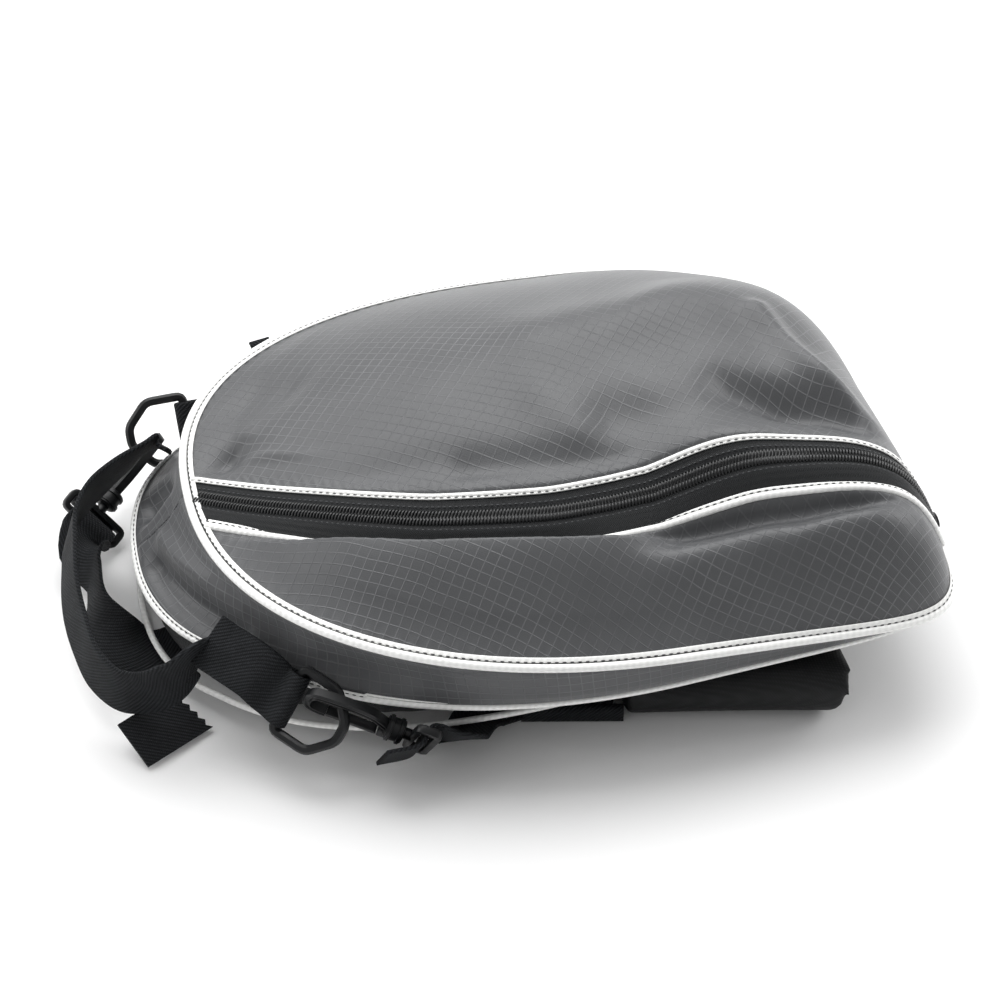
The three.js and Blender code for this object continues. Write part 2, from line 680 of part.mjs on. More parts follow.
// Webbing: lean in degrees turns the upper edge towards the path's left, 90 lays it flat
function webbingPath(rows) {
  const knots = rows.map((r) => place(r.x, r.y, r.z));
  const curve = new THREE.CatmullRomCurve3(knots, false, 'centripetal');
  const per = 2;
  const centres = [];
  const across = [];
  for (let i = 0; i < rows.length - 1; i += 1) {
    for (let k = 0; k < per || (i === rows.length - 2 && k === per); k += 1) {
      const t = (i + k / per) / (rows.length - 1);
      const lean = THREE.MathUtils.degToRad(rows[i].lean + ((rows[i + 1].lean - rows[i].lean) * k) / per);
      const run = curve.getTangent(t);
      const left = new THREE.Vector3(-run.y, run.x, 0).normalize();
      centres.push(curve.getPoint(t));
      across.push(new THREE.Vector3(0, 0, Math.cos(lean)).addScaledVector(left, Math.sin(lean)));
    }
  }
  return { centres, across };
}

function webbing(name, rows, width, thick) {
  const path = webbingPath(rows);
  add(name, sweep(path.centres, path.across, slab(width, thick), false), WEBBING_BLACK);
}

const HANDLE_ROWS = [
  { x: -1.0155, y: 0.4529, z: 0.6775, lean: 38 },
  { x: -1.05, y: 0.4838, z: 0.72, lean: 36 },
  { x: -1.095, y: 0.4355, z: 0.72, lean: 30 },
  { x: -1.16, y: 0.3709, z: 0.705, lean: 20 },
  { x: -1.228, y: 0.286, z: 0.675, lean: 14 },
  { x: -1.275, y: 0.1806, z: 0.635, lean: 18 },
  { x: -1.295, y: 0.0452, z: 0.58, lean: 20 },
  { x: -1.306, y: -0.098, z: 0.52, lean: 20 },
  { x: -1.3, y: -0.238, z: 0.46, lean: 18 },
  { x: -1.28, y: -0.378, z: 0.41, lean: 12 },
  { x: -1.233, y: -0.476, z: 0.378, lean: 4 },
  { x: -1.166, y: -0.52, z: 0.41, lean: 0 },
  { x: -1.105, y: -0.535, z: 0.52, lean: -6 },
  { x: -1.062, y: -0.52, z: 0.65, lean: -10 },
  { x: -1.0453, y: -0.5028, z: 0.6338, lean: -10 },
];
webbing('handle', HANDLE_ROWS, WEBBING, HANDLE_THICK);

// Cut end of the handle webbing, standing on one edge: its outline as multiples of the webbing width
const TAIL_ROWS = [
  { along: 0, up: 0 },
  { along: 1.41, up: 0 },
  { along: 1.19, up: 0.93 },
  { along: -0.03, up: 0.93 },
];
const TAIL_TEETH = 5;
const TAIL_NOTCH = 3;
const TAIL_LIFT = 1.4;

function zigzagTail() {
  const corners = TAIL_ROWS.map((r) => new THREE.Vector2(r.along * WEBBING, r.up * WEBBING));
  const [start, low, high, fold] = corners;
  const outline = new THREE.Shape();
  outline.moveTo(start.x, start.y);
  outline.lineTo(low.x, low.y);
  for (let k = 1; k <= TAIL_TEETH; k += 1) {
    const notch = low.clone().lerp(high, (k - 0.5) / TAIL_TEETH);
    const tooth = low.clone().lerp(high, k / TAIL_TEETH);
    outline.lineTo(notch.x - TAIL_NOTCH, notch.y);
    outline.lineTo(tooth.x, tooth.y);
  }
  outline.lineTo(fold.x, fold.y);
  outline.closePath();
  return new THREE.ExtrudeGeometry(outline, { depth: WEBBING_THICK, bevelEnabled: false });
}

const tailRun = new THREE.Vector3(0.879, 0.476, 0);
const tailRise = new THREE.Vector3(-0.403, 0.744, 0.533);
const tailCorner = place(-1.2, -0.645, TAIL_LIFT / RIM_HIGH);
add('handle_tail', zigzagTail(), WEBBING_BLACK).applyMatrix4(placedFrame(tailCorner, tailRun, tailRise));

// Rings, hooks and straps on the two sides of the handle end.
// Directions are unit vectors.
// ringAcross and ringAlong place the hook on the ring's bar as shares of the ring's half width and depth.
const direction = (x, y, z) => new THREE.Vector3(x, y, z).normalize();
const SIDES = [
  {
    name: 'near',
    ringBase: place(-0.869, -0.7085, 0.512),
    ringBar: direction(0.58, 0.319, 0.749),
    ringRun: direction(0.667, -0.715, -0.212),
    ringAcross: 0.65,
    ringAlong: 0.82,
    hookRun: direction(0.857, -0.359, -0.37),
    hookSide: direction(0.186, -0.454, 0.871),
    hookReach: 17,
    loopSide: direction(0.23, -0.565, 0.79),
    tab: [
      { point: place(-0.9737, -0.4985, 0.6555), across: direction(0.828, 0.249, 0.498) },
      { point: place(-0.995, -0.53, 0.672), across: direction(0.828, 0.249, 0.498) },
      { point: place(-0.927, -0.638, 0.628), across: direction(0.65, 0.3, 0.65) },
    ],
  },
  {
    name: 'far',
    ringBase: place(-0.952, 0.6989, 0.484),
    ringBar: direction(-0.017, 0.573, 0.819),
    ringRun: direction(-0.999, -0.043, 0.01),
    ringAcross: -0.65,
    ringAlong: 0.82,
    hookRun: direction(-0.7, -0.668, -0.247),
    hookSide: direction(0.305, -0.594, 0.745),
    hookReach: 14,
    loopSide: direction(0.72, -0.2, -0.66),
    tab: [{ point: place(-0.915, 0.7042, 0.484), across: direction(-0.017, 0.573, 0.819) }],
  },
];

const RING_HALF = (RING_WIDTH - RING_BAR) / 2;
const RING_REACH = RING_DEPTH - RING_BAR;
const RING_CHAMFER = { across: 0.7, along: 0.36 };
const RING_CORNER_R = 2.6;
const ROUND_SIDES = 7;

function ringGeometry() {
  // Ring with its base bar along Y through the origin and its chamfered end towards +X
  const shoulder = RING_REACH * (1 - RING_CHAMFER.along);
  const end = RING_HALF * (1 - RING_CHAMFER.across);
  const corners = [
    [0, -RING_HALF], [shoulder, -RING_HALF], [RING_REACH, -end],
    [RING_REACH, end], [shoulder, RING_HALF], [0, RING_HALF],
  ].map(([x, y]) => new THREE.Vector3(x, y, 0));
  const centres = corners.flatMap((corner, i) => {
    const before = corners.at(i - 1).clone().sub(corner).setLength(RING_CORNER_R);
    const after = corners[(i + 1) % corners.length].clone().sub(corner).setLength(RING_CORNER_R);
    return [corner.clone().add(before), corner.clone().add(after)];
  });
  const up = centres.map(() => new THREE.Vector3(0, 0, 1));
  return sweep(centres, up, disc(RING_BAR / 2, ROUND_SIDES), true);
}

function solidOf(geometry) {
  const bare = geometry.clone();
  bare.deleteAttribute('normal');
  bare.deleteAttribute('uv');
  const merged = mergeVertices(bare, 1e-4);
  return new wasm.Manifold(new wasm.Mesh({
    numProp: 3,
    vertProperties: new Float32Array(merged.attributes.position.array),
    triVerts: new Uint32Array(merged.index.array),
  }));
}

function joined(parts) {
  const mesh = parts.map(solidOf).reduce((a, b) => a.add(b)).getMesh();
  const geometry = new THREE.BufferGeometry();
  geometry.setAttribute('position', new THREE.BufferAttribute(new Float32Array(mesh.vertProperties), 3));
  geometry.setIndex(new THREE.BufferAttribute(new Uint32Array(mesh.triVerts), 1));
  return geometry;
}

function rod(radius, length, sides) {
  return new THREE.CylinderGeometry(radius, radius, length, sides).rotateZ(Math.PI / 2);
}

// Bow of the hook from the barrel round the eye to the nose: shares of the hook length and the eye's half
const EYE_HALF = (HOOK_EYE - HOOK_BAR) / 2;
const NOSE_END = 0.315;
const BOW_ROWS = [
  { along: 1.05, side: 0 },
  { along: 0.92, side: 0.55 },
  { along: 0.765, side: 1 },
  { along: 0.208, side: 1 },
  { along: 0.105, side: 0.78 },
  { along: 0.063, side: 0.3 },
  { along: 0.063, side: -0.3 },
  { along: 0.105, side: -0.78 },
  { along: 0.208, side: -1 },
  { along: NOSE_END, side: -1 },
];
const BARREL_BAND = { width: 1.6, rise: 0.8 };
const BARREL_SIDES = 10;
const GATE_PIVOT = HOOK_LENGTH - 4;
const GATE_START = NOSE_END * HOOK_LENGTH + GAP;
const LUG = { length: 3.4, width: 7, soft: 0.8 };
const RING_SEAT = 2.2;

function hookGeometry() {
  // Bow with its round end at the origin, spine on +Y and nose on -Y; barrel and hinge lug at its far end
  const centres = BOW_ROWS.map((r) => new THREE.Vector3(r.along * HOOK_LENGTH, r.side * EYE_HALF, 0));
  const up = centres.map(() => new THREE.Vector3(0, 0, 1));
  const bow = sweep(centres, up, disc(HOOK_BAR / 2, ROUND_SIDES), false);
  const barrelAt = HOOK_LENGTH + BARREL_LENGTH / 2;
  const barrel = rod(BARREL_R, BARREL_LENGTH, BARREL_SIDES).translate(barrelAt, 0, 0);
  const bandAt = [HOOK_LENGTH + BARREL_BAND.width, HOOK_LENGTH + BARREL_LENGTH - BARREL_BAND.width];
  const bandRadius = BARREL_R + BARREL_BAND.rise;
  const bands = bandAt.map((x) => rod(bandRadius, BARREL_BAND.width, BARREL_SIDES).translate(x, 0, 0));
  const lugStart = GATE_PIVOT + GATE_THICK / 2 + GAP;
  const lug = softBlock(LUG.length, LUG.width, GATE_WIDTH, LUG.soft)
    .translate(lugStart + LUG.length / 2, GATE_THICK / 2 - EYE_HALF, 0);
  return joined([bow, barrel, lug, ...bands]);
}

function gateGeometry() {
  // Lever from its round knuckle beside the barrel to the nose
  const start = GATE_START;
  const half = GATE_THICK / 2;
  const corner = half * Math.SQRT1_2;
  const outline = new THREE.Shape();
  outline.moveTo(GATE_PIVOT - half, -half);
  outline.lineTo(GATE_PIVOT, -half);
  outline.lineTo(GATE_PIVOT + corner, -corner);
  outline.lineTo(GATE_PIVOT + half, 0);
  outline.lineTo(GATE_PIVOT + corner, corner);
  outline.lineTo(GATE_PIVOT, half);
  outline.lineTo(start, half);
  outline.lineTo(start, -half);
  outline.closePath();
  return new THREE.ExtrudeGeometry(outline, { depth: GATE_WIDTH, bevelEnabled: false })
    .translate(0, -EYE_HALF, -GATE_WIDTH / 2);
}

const LOOP_BAR = 3.2;
const LOOP_CORNER = 3.5;
const SLOT_HALF = WEBBING / 2 + 1.4;
const STEM = { length: 2.5, radius: 2.6, root: 1, sides: 8 };

function loopGeometry() {
  // Webbing loop with one long slot along Y, and the stem that turns in the barrel
  const half = LOOP_WIDTH / 2;
  const outline = new THREE.Shape();
  outline.moveTo(0, -half + LOOP_CORNER);
  outline.lineTo(LOOP_CORNER, -half);
  outline.lineTo(LOOP_DEPTH - LOOP_CORNER, -half);
  outline.lineTo(LOOP_DEPTH, -half + LOOP_CORNER);
  outline.lineTo(LOOP_DEPTH, half - LOOP_CORNER);
  outline.lineTo(LOOP_DEPTH - LOOP_CORNER, half);
  outline.lineTo(LOOP_CORNER, half);
  outline.lineTo(0, half - LOOP_CORNER);
  outline.closePath();
  const slot = new THREE.Path();
  slot.moveTo(LOOP_BAR, -SLOT_HALF);
  slot.lineTo(LOOP_BAR, SLOT_HALF);
  slot.lineTo(LOOP_DEPTH - LOOP_BAR, SLOT_HALF);
  slot.lineTo(LOOP_DEPTH - LOOP_BAR, -SLOT_HALF);
  slot.closePath();
  outline.holes.push(slot);
  const frame = new THREE.ExtrudeGeometry(outline, { depth: LOOP_THICK, bevelEnabled: false })
    .translate(0, 0, -LOOP_THICK / 2);
  const stem = rod(STEM.radius, STEM.length + STEM.root, STEM.sides)
    .translate((STEM.root - STEM.length) / 2, 0, 0);
  return joined([frame, stem]);
}

const LOOP_START = HOOK_LENGTH + BARREL_LENGTH + GAP + STEM.length;

function ribbon(name, knots, width, thick, per, finish) {
  // Webbing through knots that each give a point and the direction of the webbing's width
  const curve = new THREE.CatmullRomCurve3(knots.map((k) => k.point), false, 'centripetal');
  const centres = [];
  const across = [];
  const steps = (knots.length - 1) * per;
  for (let i = 0; i <= steps; i += 1) {
    const here = Math.min(Math.floor(i / per), knots.length - 2);
    centres.push(curve.getPoint(i / steps));
    across.push(knots[here].across.clone().lerp(knots[here + 1].across, i / per - here).normalize());
  }
  add(name, sweep(centres, across, slab(width, thick), false), finish);
}

// Strap webbing beyond each hook: places as shares, direction of the width
const STRAP_ROWS = {
  near: [
    { point: place(-0.49, -0.83, 0.17), across: direction(0.1, -0.8, 0.5) },
    { point: place(-0.43, -0.72, 0.09), across: direction(0, -1, 0.2) },
    { point: place(-0.3644, -0.675, 0.065), across: direction(0.1, -1, 0) },
  ],
  far: [
    { point: place(-1.245, 0.1505, 0.24), across: direction(0.3, 0.1, 0.95) },
    { point: place(-1.25, -0.03, 0.19), across: direction(0.4, 0.3, 0.85) },
    { point: place(-1.2, -0.13, 0.1), across: direction(0.35, 0.75, 0.45) },
    { point: place(-1.12, -0.15, 0.03), across: direction(-0.1, 0.98, 0.04) },
    { point: place(-0.98, -0.06, 0.018), across: direction(-0.4, 0.9, 0) },
    { point: place(-0.78, 0.1505, 0.018), across: direction(-0.65, 0.75, 0) },
    { point: place(-0.57, 0.4516, 0.018), across: direction(-0.6, 0.8, 0) },
    { point: place(-0.44, 0.6236, 0.035), across: direction(-0.3, 1, 0) },
    { point: place(-0.3578, 0.6666, 0.06), across: direction(-0.2, 1, 0) },
  ],
};
const STRAP_TAIL = { near: { back: 14, drop: -14 }, far: { back: 7, drop: 5 } };

for (const side of SIDES) {
  const plate = side.ringRun.clone().cross(side.ringBar);
  add(`ring_${side.name}`, ringGeometry(), PLASTIC_BLACK)
    .applyMatrix4(placedFrame(side.ringBase, side.ringRun, side.ringBar));
  const wrap = RING_BAR / 2 + 2 * GAP + WEBBING_THICK / 2;
  const spread = WEBBING_THICK / 2 + GAP;
  const neckPoint = side.ringBase.clone().addScaledVector(side.ringRun, -2 * wrap);
  const neck = { point: neckPoint, across: side.ringBar };
  const layers = [...side.tab, neck];
  const layer = (sign) => layers.map((knot, i) => {
    const from = layers[Math.max(i - 1, 0)].point;
    const to = i < layers.length - 1 ? layers[i + 1].point : side.ringBase;
    const face = to.clone().sub(from).cross(knot.across).normalize();
    return { point: knot.point.clone().addScaledVector(face, sign * spread), across: knot.across };
  });
  const round = [90, 45, 0, -45, -90].map((degrees) => {
    const angle = THREE.MathUtils.degToRad(degrees);
    const point = side.ringBase.clone().addScaledVector(side.ringRun, wrap * Math.cos(angle))
      .addScaledVector(plate, wrap * Math.sin(angle));
    return { point, across: side.ringBar };
  });
  ribbon(`ring_tab_${side.name}`, [...layer(1), ...round, ...layer(-1).reverse()],
    WEBBING, WEBBING_THICK, 1, WEBBING_BLACK);
  const held = side.ringBase.clone().addScaledVector(side.ringRun, RING_REACH * side.ringAlong)
    .addScaledVector(side.ringBar, RING_HALF * side.ringAcross);
  const hookFrame = placedFrame(held, side.hookRun, side.hookSide)
    .multiply(new THREE.Matrix4().makeTranslation(-side.hookReach, -RING_SEAT, 0));
  add(`hook_${side.name}`, hookGeometry(), PLASTIC_BLACK).applyMatrix4(hookFrame);
  add(`hook_gate_${side.name}`, gateGeometry(), PLASTIC_BLACK).applyMatrix4(hookFrame);
  const loopAt = new THREE.Vector3(LOOP_START, 0, 0).applyMatrix4(hookFrame);
  const loopFrame = placedFrame(loopAt, side.hookRun, side.loopSide);
  add(`hook_loop_${side.name}`, loopGeometry(), PLASTIC_BLACK).applyMatrix4(loopFrame);
  const slotSide = new THREE.Vector3().setFromMatrixColumn(loopFrame, 1);
  const inLoop = (x, z) => new THREE.Vector3(x, 0, z).applyMatrix4(loopFrame);
  const through = (x, z) => ({ point: inLoop(x, z), across: slotSide });
  const { back, drop } = STRAP_TAIL[side.name];
  const turn = Math.sign(drop);
  ribbon(`strap_webbing_${side.name}`, [
    through(LOOP_DEPTH / 2 - back, -drop),
    through(LOOP_DEPTH / 2 - 0.8, -turn * LOOP_THICK * 1.2),
    through(LOOP_DEPTH / 2, 0),
    through(LOOP_DEPTH / 2 + 0.8, turn * LOOP_THICK),
    through(LOOP_DEPTH - LOOP_BAR / 2, turn * LOOP_THICK * 1.35),
    through(LOOP_DEPTH + 6, turn * LOOP_THICK * 1.3),
    ...STRAP_ROWS[side.name],
  ], WEBBING, WEBBING_THICK, 2, WEBBING_BLACK);
}

// Short webbing end sewn into the far side wall
const SIDE_TAB = { width: 11, across: direction(0.78, 0.6, 0.1) };
ribbon('side_tab_far', [
  { point: place(-0.698, 0.7718, 0.6466), across: SIDE_TAB.across },
  { point: place(-0.715, 0.8225, 0.66), across: SIDE_TAB.across },
  { point: place(-0.725, 0.8709, 0.73), across: SIDE_TAB.across },
  { point: place(-0.735, 0.9247, 0.79), across: SIDE_TAB.across },
], SIDE_TAB.width, WEBBING_THICK, 1, WEBBING_BLACK);

// Mesh-lined straps and folded shoulder pads under the wide half of the back
const PAD_FROM = -0.1036 * HANDLE_REACH;
const PAD_TO = 0.5457 * WIDE_REACH;
const PADS = [
  { name: 'near', away: -1, edge: 0.84 * NEAR_HALF, skew: 0.25, from: PAD_FROM, to: PAD_TO },
  { name: 'far', away: 1, edge: 0.812 * FAR_HALF, skew: 0.1, from: PAD_FROM, to: PAD_TO },
];
const MESH_STRAP = { from: -0.3367 * HANDLE_REACH, thick: 9, width: 42 };
const PAD_SLANT = 9;

for (const pad of PADS) {
  const turn = (PAD_LAYER + PAD_FOLD_GAP) / 2;
  const outer = pad.edge - PAD_LAYER / 2 - turn;
  const inner = pad.edge - PAD_WIDTH;
  const path = [
    [inner, 3 * turn], [(inner + outer) / 2, 3 * turn], [outer, 3 * turn],
    [outer + turn * 0.71, 2.71 * turn], [outer + turn, 2 * turn], [outer + turn * 0.71, 1.29 * turn],
    [outer, turn], [(inner + outer) / 2, turn], [inner, turn],
  ];
  const high = 2 * PAD_LAYER + PAD_FOLD_GAP;
  const rings = path.map(([y, z], i) => {
    const before = path[Math.max(i - 1, 0)];
    const after = path[Math.min(i + 1, path.length - 1)];
    const run = new THREE.Vector2(after[0] - before[0], after[1] - before[1]).normalize();
    const half = PAD_LAYER / 2;
    const soft = half * 0.75;
    const outline = [
      [0, -half + soft], [soft, -half], [1, -half], [1, -half + soft],
      [1, half - soft], [1, half], [soft, half], [0, half - soft],
    ];
    return outline.map(([along, off], k) => {
      const level = z - PAD_FOLD_GAP / 2 + off * run.x;
      const end = pad.to + (PAD_SLANT * level) / high;
      const ends = [pad.from, pad.from + soft, end - soft, end, end, end - soft, pad.from + soft, pad.from];
      const x = ends[k];
      const squeeze = Math.min((backHeight(x) - 0.3) / high, 1.1);
      const skewed = y - off * run.y + pad.skew * (x - pad.from);
      return new THREE.Vector3(x, pad.away * skewed, level * squeeze);
    });
  });
  add(`shoulder_pad_${pad.name}`, loft(rings, false), NYLON_BLACK);
  const strapEnds = [MESH_STRAP.from, (MESH_STRAP.from + pad.from) / 2, pad.from - GAP];
  const strapRings = strapEnds.map((x) => {
    const y = pad.away * (pad.edge - PAD_WIDTH / 2 + pad.skew * (x - pad.from));
    const outline = slab(MESH_STRAP.width, MESH_STRAP.thick);
    return outline.map((p) => new THREE.Vector3(x, y + p.u, MESH_STRAP.thick / 2 + p.v));
  });
  add(`strap_mesh_${pad.name}`, loft(strapRings, false), MESH_BLACK);
}

bag.updateMatrixWorld(true);
const box = new THREE.Box3().setFromObject(bag, true);
bag.position.set(-(box.min.x + box.max.x) / 2, -(box.min.y + box.max.y) / 2, -box.min.z);

export default bag;
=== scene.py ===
"""Soft ball bag lying on its back: cloth, piping, zip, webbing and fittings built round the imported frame."""
import math

import bmesh
import bpy
import numpy as np
from mathutils import Matrix, Vector


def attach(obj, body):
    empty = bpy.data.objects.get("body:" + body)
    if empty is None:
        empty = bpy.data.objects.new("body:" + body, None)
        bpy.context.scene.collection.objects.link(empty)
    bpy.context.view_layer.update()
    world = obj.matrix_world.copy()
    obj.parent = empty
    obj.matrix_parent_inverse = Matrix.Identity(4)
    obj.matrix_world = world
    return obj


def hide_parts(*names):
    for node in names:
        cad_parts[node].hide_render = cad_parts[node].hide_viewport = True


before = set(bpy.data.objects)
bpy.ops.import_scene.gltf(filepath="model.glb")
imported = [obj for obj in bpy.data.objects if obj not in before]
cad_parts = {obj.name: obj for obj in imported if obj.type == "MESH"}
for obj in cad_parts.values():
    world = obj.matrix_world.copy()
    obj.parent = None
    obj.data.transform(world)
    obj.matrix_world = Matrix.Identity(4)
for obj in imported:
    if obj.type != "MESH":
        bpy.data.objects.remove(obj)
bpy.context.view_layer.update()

MM = 0.001
BAG_ZERO = np.array([61.541, 5.013, 0.0])

# Sizes of the bag body, millimetres
BAG_LENGTH = 325
WIDEST_SHARE = 0.594
FAR_HALF = 133
NEAR_HALF = 143
HANDLE_FAR_POWER = 2.4
HANDLE_NEAR_POWER = 2.2
FAR_POWER = 2.6
NEAR_POWER = 9
RIM_HIGH = 74
RIM_DROP = 19.5
HANDLE_REACH = BAG_LENGTH * WIDEST_SHARE
WIDE_REACH = BAG_LENGTH - HANDLE_REACH
BACK_LENGTH = BAG_LENGTH * 1.055
GAP = 0.35
ZIP_GAP = 0.6

# Sizes of the trim
RIM_BEAD_R = 2.4
SEAM_BEAD_R = 1.7
BACK_BEAD_R = 1.6
ZIP_FAR_BEAD_R = 1.6
ZIP_NEAR_BEAD_R = 2.0
COIL_WIDTH = 8
COIL_HEIGHT = 2.6
COIL_PITCH = 1.5
TAPE_FAR_WIDTH = 4
TAPE_NEAR_WIDTH = 7.2
WEBBING = 25
WEBBING_THICK = 1.8
HANDLE_THICK = 2.2

# Sizes of the back and pads
BACK_HEIGHT_HANDLE = 8
BACK_HEIGHT_WIDE = 35
PAD_BELLY_INSET = 14
PAD_LAYER = 12
PAD_FOLD_GAP = 2
PAD_WIDTH = 46

# Height of the dome over the rim at its crown: share of the length, share of the dome height
DOME_HEIGHT = 57
DOME_ROWS = {
    "along": [0.0, 0.22, 0.53, 0.72, 0.87, 1.0],
    "rise": [0.53, 0.74, 0.95, 1.0, 0.93, 0.84],
}

# Line of the zip: share of the length, share of the near half width
ZIP_ROWS = {
    "along": [0.0, 0.077, 0.148, 0.231, 0.314, 0.443, 0.532, 0.631, 0.717, 0.8, 0.9, 0.96, 1.0],
    "across": [-0.005, -0.14, -0.25, -0.364, -0.455, -0.538, -0.555, -0.548, -0.56, -0.587, -0.602, -0.62,
               -0.66],
}

# Lip of the near lobe beside the zip
LIP_REACH = 30
LIP_HEIGHT = 12
LIP_SPREAD = 24
LIP_ROWS = {
    "along": [0.0, 0.1, 0.2, 0.42, 0.54, 0.7, 0.86, 0.96, 1.0],
    "away": [0.7, 0.66, 0.62, 0.62, 0.7, 0.95, 1.0, 0.85, 0.8],
    "lip": [0.0, 0.25, 0.8, 1.0, 0.75, 0.35, 0.35, 0.1, 0.0],
    "valley": [0.0, 0.1, 0.3, 0.3, 0.05, 0.1, 0.3, 0.1, 0.0],
}

# Dents and folds of the front: name, along, across, reach, width, turn in degrees, rise as a share of the dome
FOLD_ROWS = [
    ("wide end crease", 0.885, -0.22, 0.1, 0.028, -62, 0.1),
    ("valley under crease", 0.84, -0.33, 0.1, 0.035, -30, -0.1),
    ("tip dimple", 0.06, 0.12, 0.04, 0.03, 20, -0.09),
    ("handle end hollow", 0.12, 0.36, 0.07, 0.045, 40, -0.06),
    ("near lobe hollow", 0.8, -0.86, 0.05, 0.03, 20, -0.05),
    ("far lobe swell", 0.62, -0.32, 0.16, 0.06, -6, 0.045),
]

# Small creases that only the cloth shows: the same columns, rise in millimetres
CREASE_ROWS = [
    ("second crest", 0.83, 0.06, 0.06, 0.016, -66, 1.2),
    ("pull from the tip", 0.13, 0.03, 0.05, 0.010, -28, 1.6),
    ("dimple edge", 0.095, 0.2, 0.03, 0.012, 34, 1.2),
    ("dimple floor", 0.062, 0.1, 0.03, 0.018, 34, -3.0),
    ("slack behind the tip", 0.17, 0.34, 0.05, 0.022, 46, -2.2),
    ("slack along the zip", 0.30, -0.24, 0.12, 0.03, -14, -2.0),
    ("near lobe pinch", 0.93, -0.8, 0.04, 0.012, 70, -0.9),
    ("near lobe fold end", 0.77, -0.78, 0.04, 0.016, 10, -1.2),
    ("near lobe ripple", 0.68, -0.86, 0.05, 0.016, 26, 0.7),
    ("handle end ripple", 0.2, 0.62, 0.06, 0.02, 50, 0.7),
]

# Longer folds of the front cloth: line through places of the plan, width, rise, all in millimetres
FRONT_FOLDS = [
    ("crest of the wide end", [(80, 16), (88, -8), (97, -31), (109, -54)], 6.5, 4.2),
    ("valley left of that crest", [(52, -34), (80, -45), (101, -55)], 11.0, -6.5),
    ("brow of the far lobe", [(-20, 22), (40, 28), (86, 24)], 24.0, 5.5),
    ("slope under the brow", [(-6, -40), (36, -47), (70, -49)], 14.0, -5.5),
    ("hollow by the zip", [(-74, -44), (-36, -55), (-8, -60)], 8.0, -3.2),
    ("swell left of the slope", [(-34, -18), (-22, -40)], 11.0, 2.0),
]

# Side wall by heading from the widest point: -1 is the handle end and 1 the wide end
SIDE_FLARE = 22
SIDE_ROWS = {
    "heading": [-1.0, -0.97, -0.93, -0.85, -0.7, -0.4, 0.0, 0.6, 1.0],
    "flare": [1.25, 0.97, 0.62, 0.26, 0.0, -0.25, -0.42, -0.55, -0.6],
    "farFlare": [1.25, 1.08, 0.8, 0.25, 0.0, -0.2, -0.42, -0.55, -0.6],
    "seam": [38, 38, 38, 38, 37, 37, 37, 39, 42],
    "sag": [-0.12, -0.2, -0.25, -0.25, -0.2, 0.1, 0.1, 0.05, 0.0],
    "tuck": [-0.05, -0.12, -0.16, -0.18, 0.05, 0.45, 0.7, 0.6, 0.5],
}


def blend_rows(rows, key, at, column):
    """Smooth curve through a table's rows, flat past both ends."""
    xs = np.array(rows[key], float)
    ys = np.array(rows[column], float)
    at = np.asarray(at, float)
    n = len(xs)
    low = np.maximum(np.arange(n) - 1, 0)
    high = np.minimum(np.arange(n) + 1, n - 1)
    slope = (ys[high] - ys[low]) / (xs[high] - xs[low])
    i = np.clip(np.searchsorted(xs, at, side="left") - 1, 0, n - 2)
    span = xs[i + 1] - xs[i]
    t = np.clip((at - xs[i]) / span, 0, 1)
    t2 = t * t
    t3 = t2 * t
    start = (2 * t3 - 3 * t2 + 1) * ys[i] + (t3 - 2 * t2 + t) * slope[i] * span
    return start + (3 * t2 - 2 * t3) * ys[i + 1] + (t3 - t2) * slope[i + 1] * span


def share_along(x):
    return (x + HANDLE_REACH) / BAG_LENGTH


def quarter(x, y):
    wide = x > 0
    far = y > 0
    power = np.where(wide, np.where(far, FAR_POWER, NEAR_POWER),
                     np.where(far, HANDLE_FAR_POWER, HANDLE_NEAR_POWER))
    return power, np.where(wide, WIDE_REACH, HANDLE_REACH), np.where(far, FAR_HALF, NEAR_HALF)


def rim_height(x):
    return RIM_HIGH - RIM_DROP * share_along(x)


def rim_points(angle):
    """Points of the egg-shaped rim at the given angles."""
    c = np.cos(angle)
    s = np.sin(angle)
    power, reach, half = quarter(c, s)
    x = reach * np.sign(c) * np.abs(c) ** (2 / power)
    y = half * np.sign(s) * np.abs(s) ** (2 / power)
    return np.stack([x, y, rim_height(x)], -1)


def outward_share(x, y):
    power, reach, half = quarter(x, y)
    return (np.abs(x / reach) ** power + np.abs(y / half) ** power) ** (1 / power)


def zip_y(x):
    return NEAR_HALF * blend_rows(ZIP_ROWS, "along", share_along(x), "across")


def zip_slope(x):
    return (zip_y(x + 1) - zip_y(x - 1)) / 2


def bump(v):
    return np.exp(-v * v)


def smooth(v):
    t = np.clip(v, 0, 1)
    return t * t * (3 - 2 * t)


def fold_sum(rows, x, y, scale):
    height = np.zeros_like(x)
    for _, along, across, reach, width, turn, rise in rows:
        angle = math.radians(turn)
        dx = x + HANDLE_REACH - along * BAG_LENGTH
        dy = y - across * NEAR_HALF
        u = (dx * math.cos(angle) + dy * math.sin(angle)) / (reach * BAG_LENGTH)
        v = (dy * math.cos(angle) - dx * math.sin(angle)) / (width * BAG_LENGTH)
        height += rise * scale * bump(u) * bump(v)
    return height


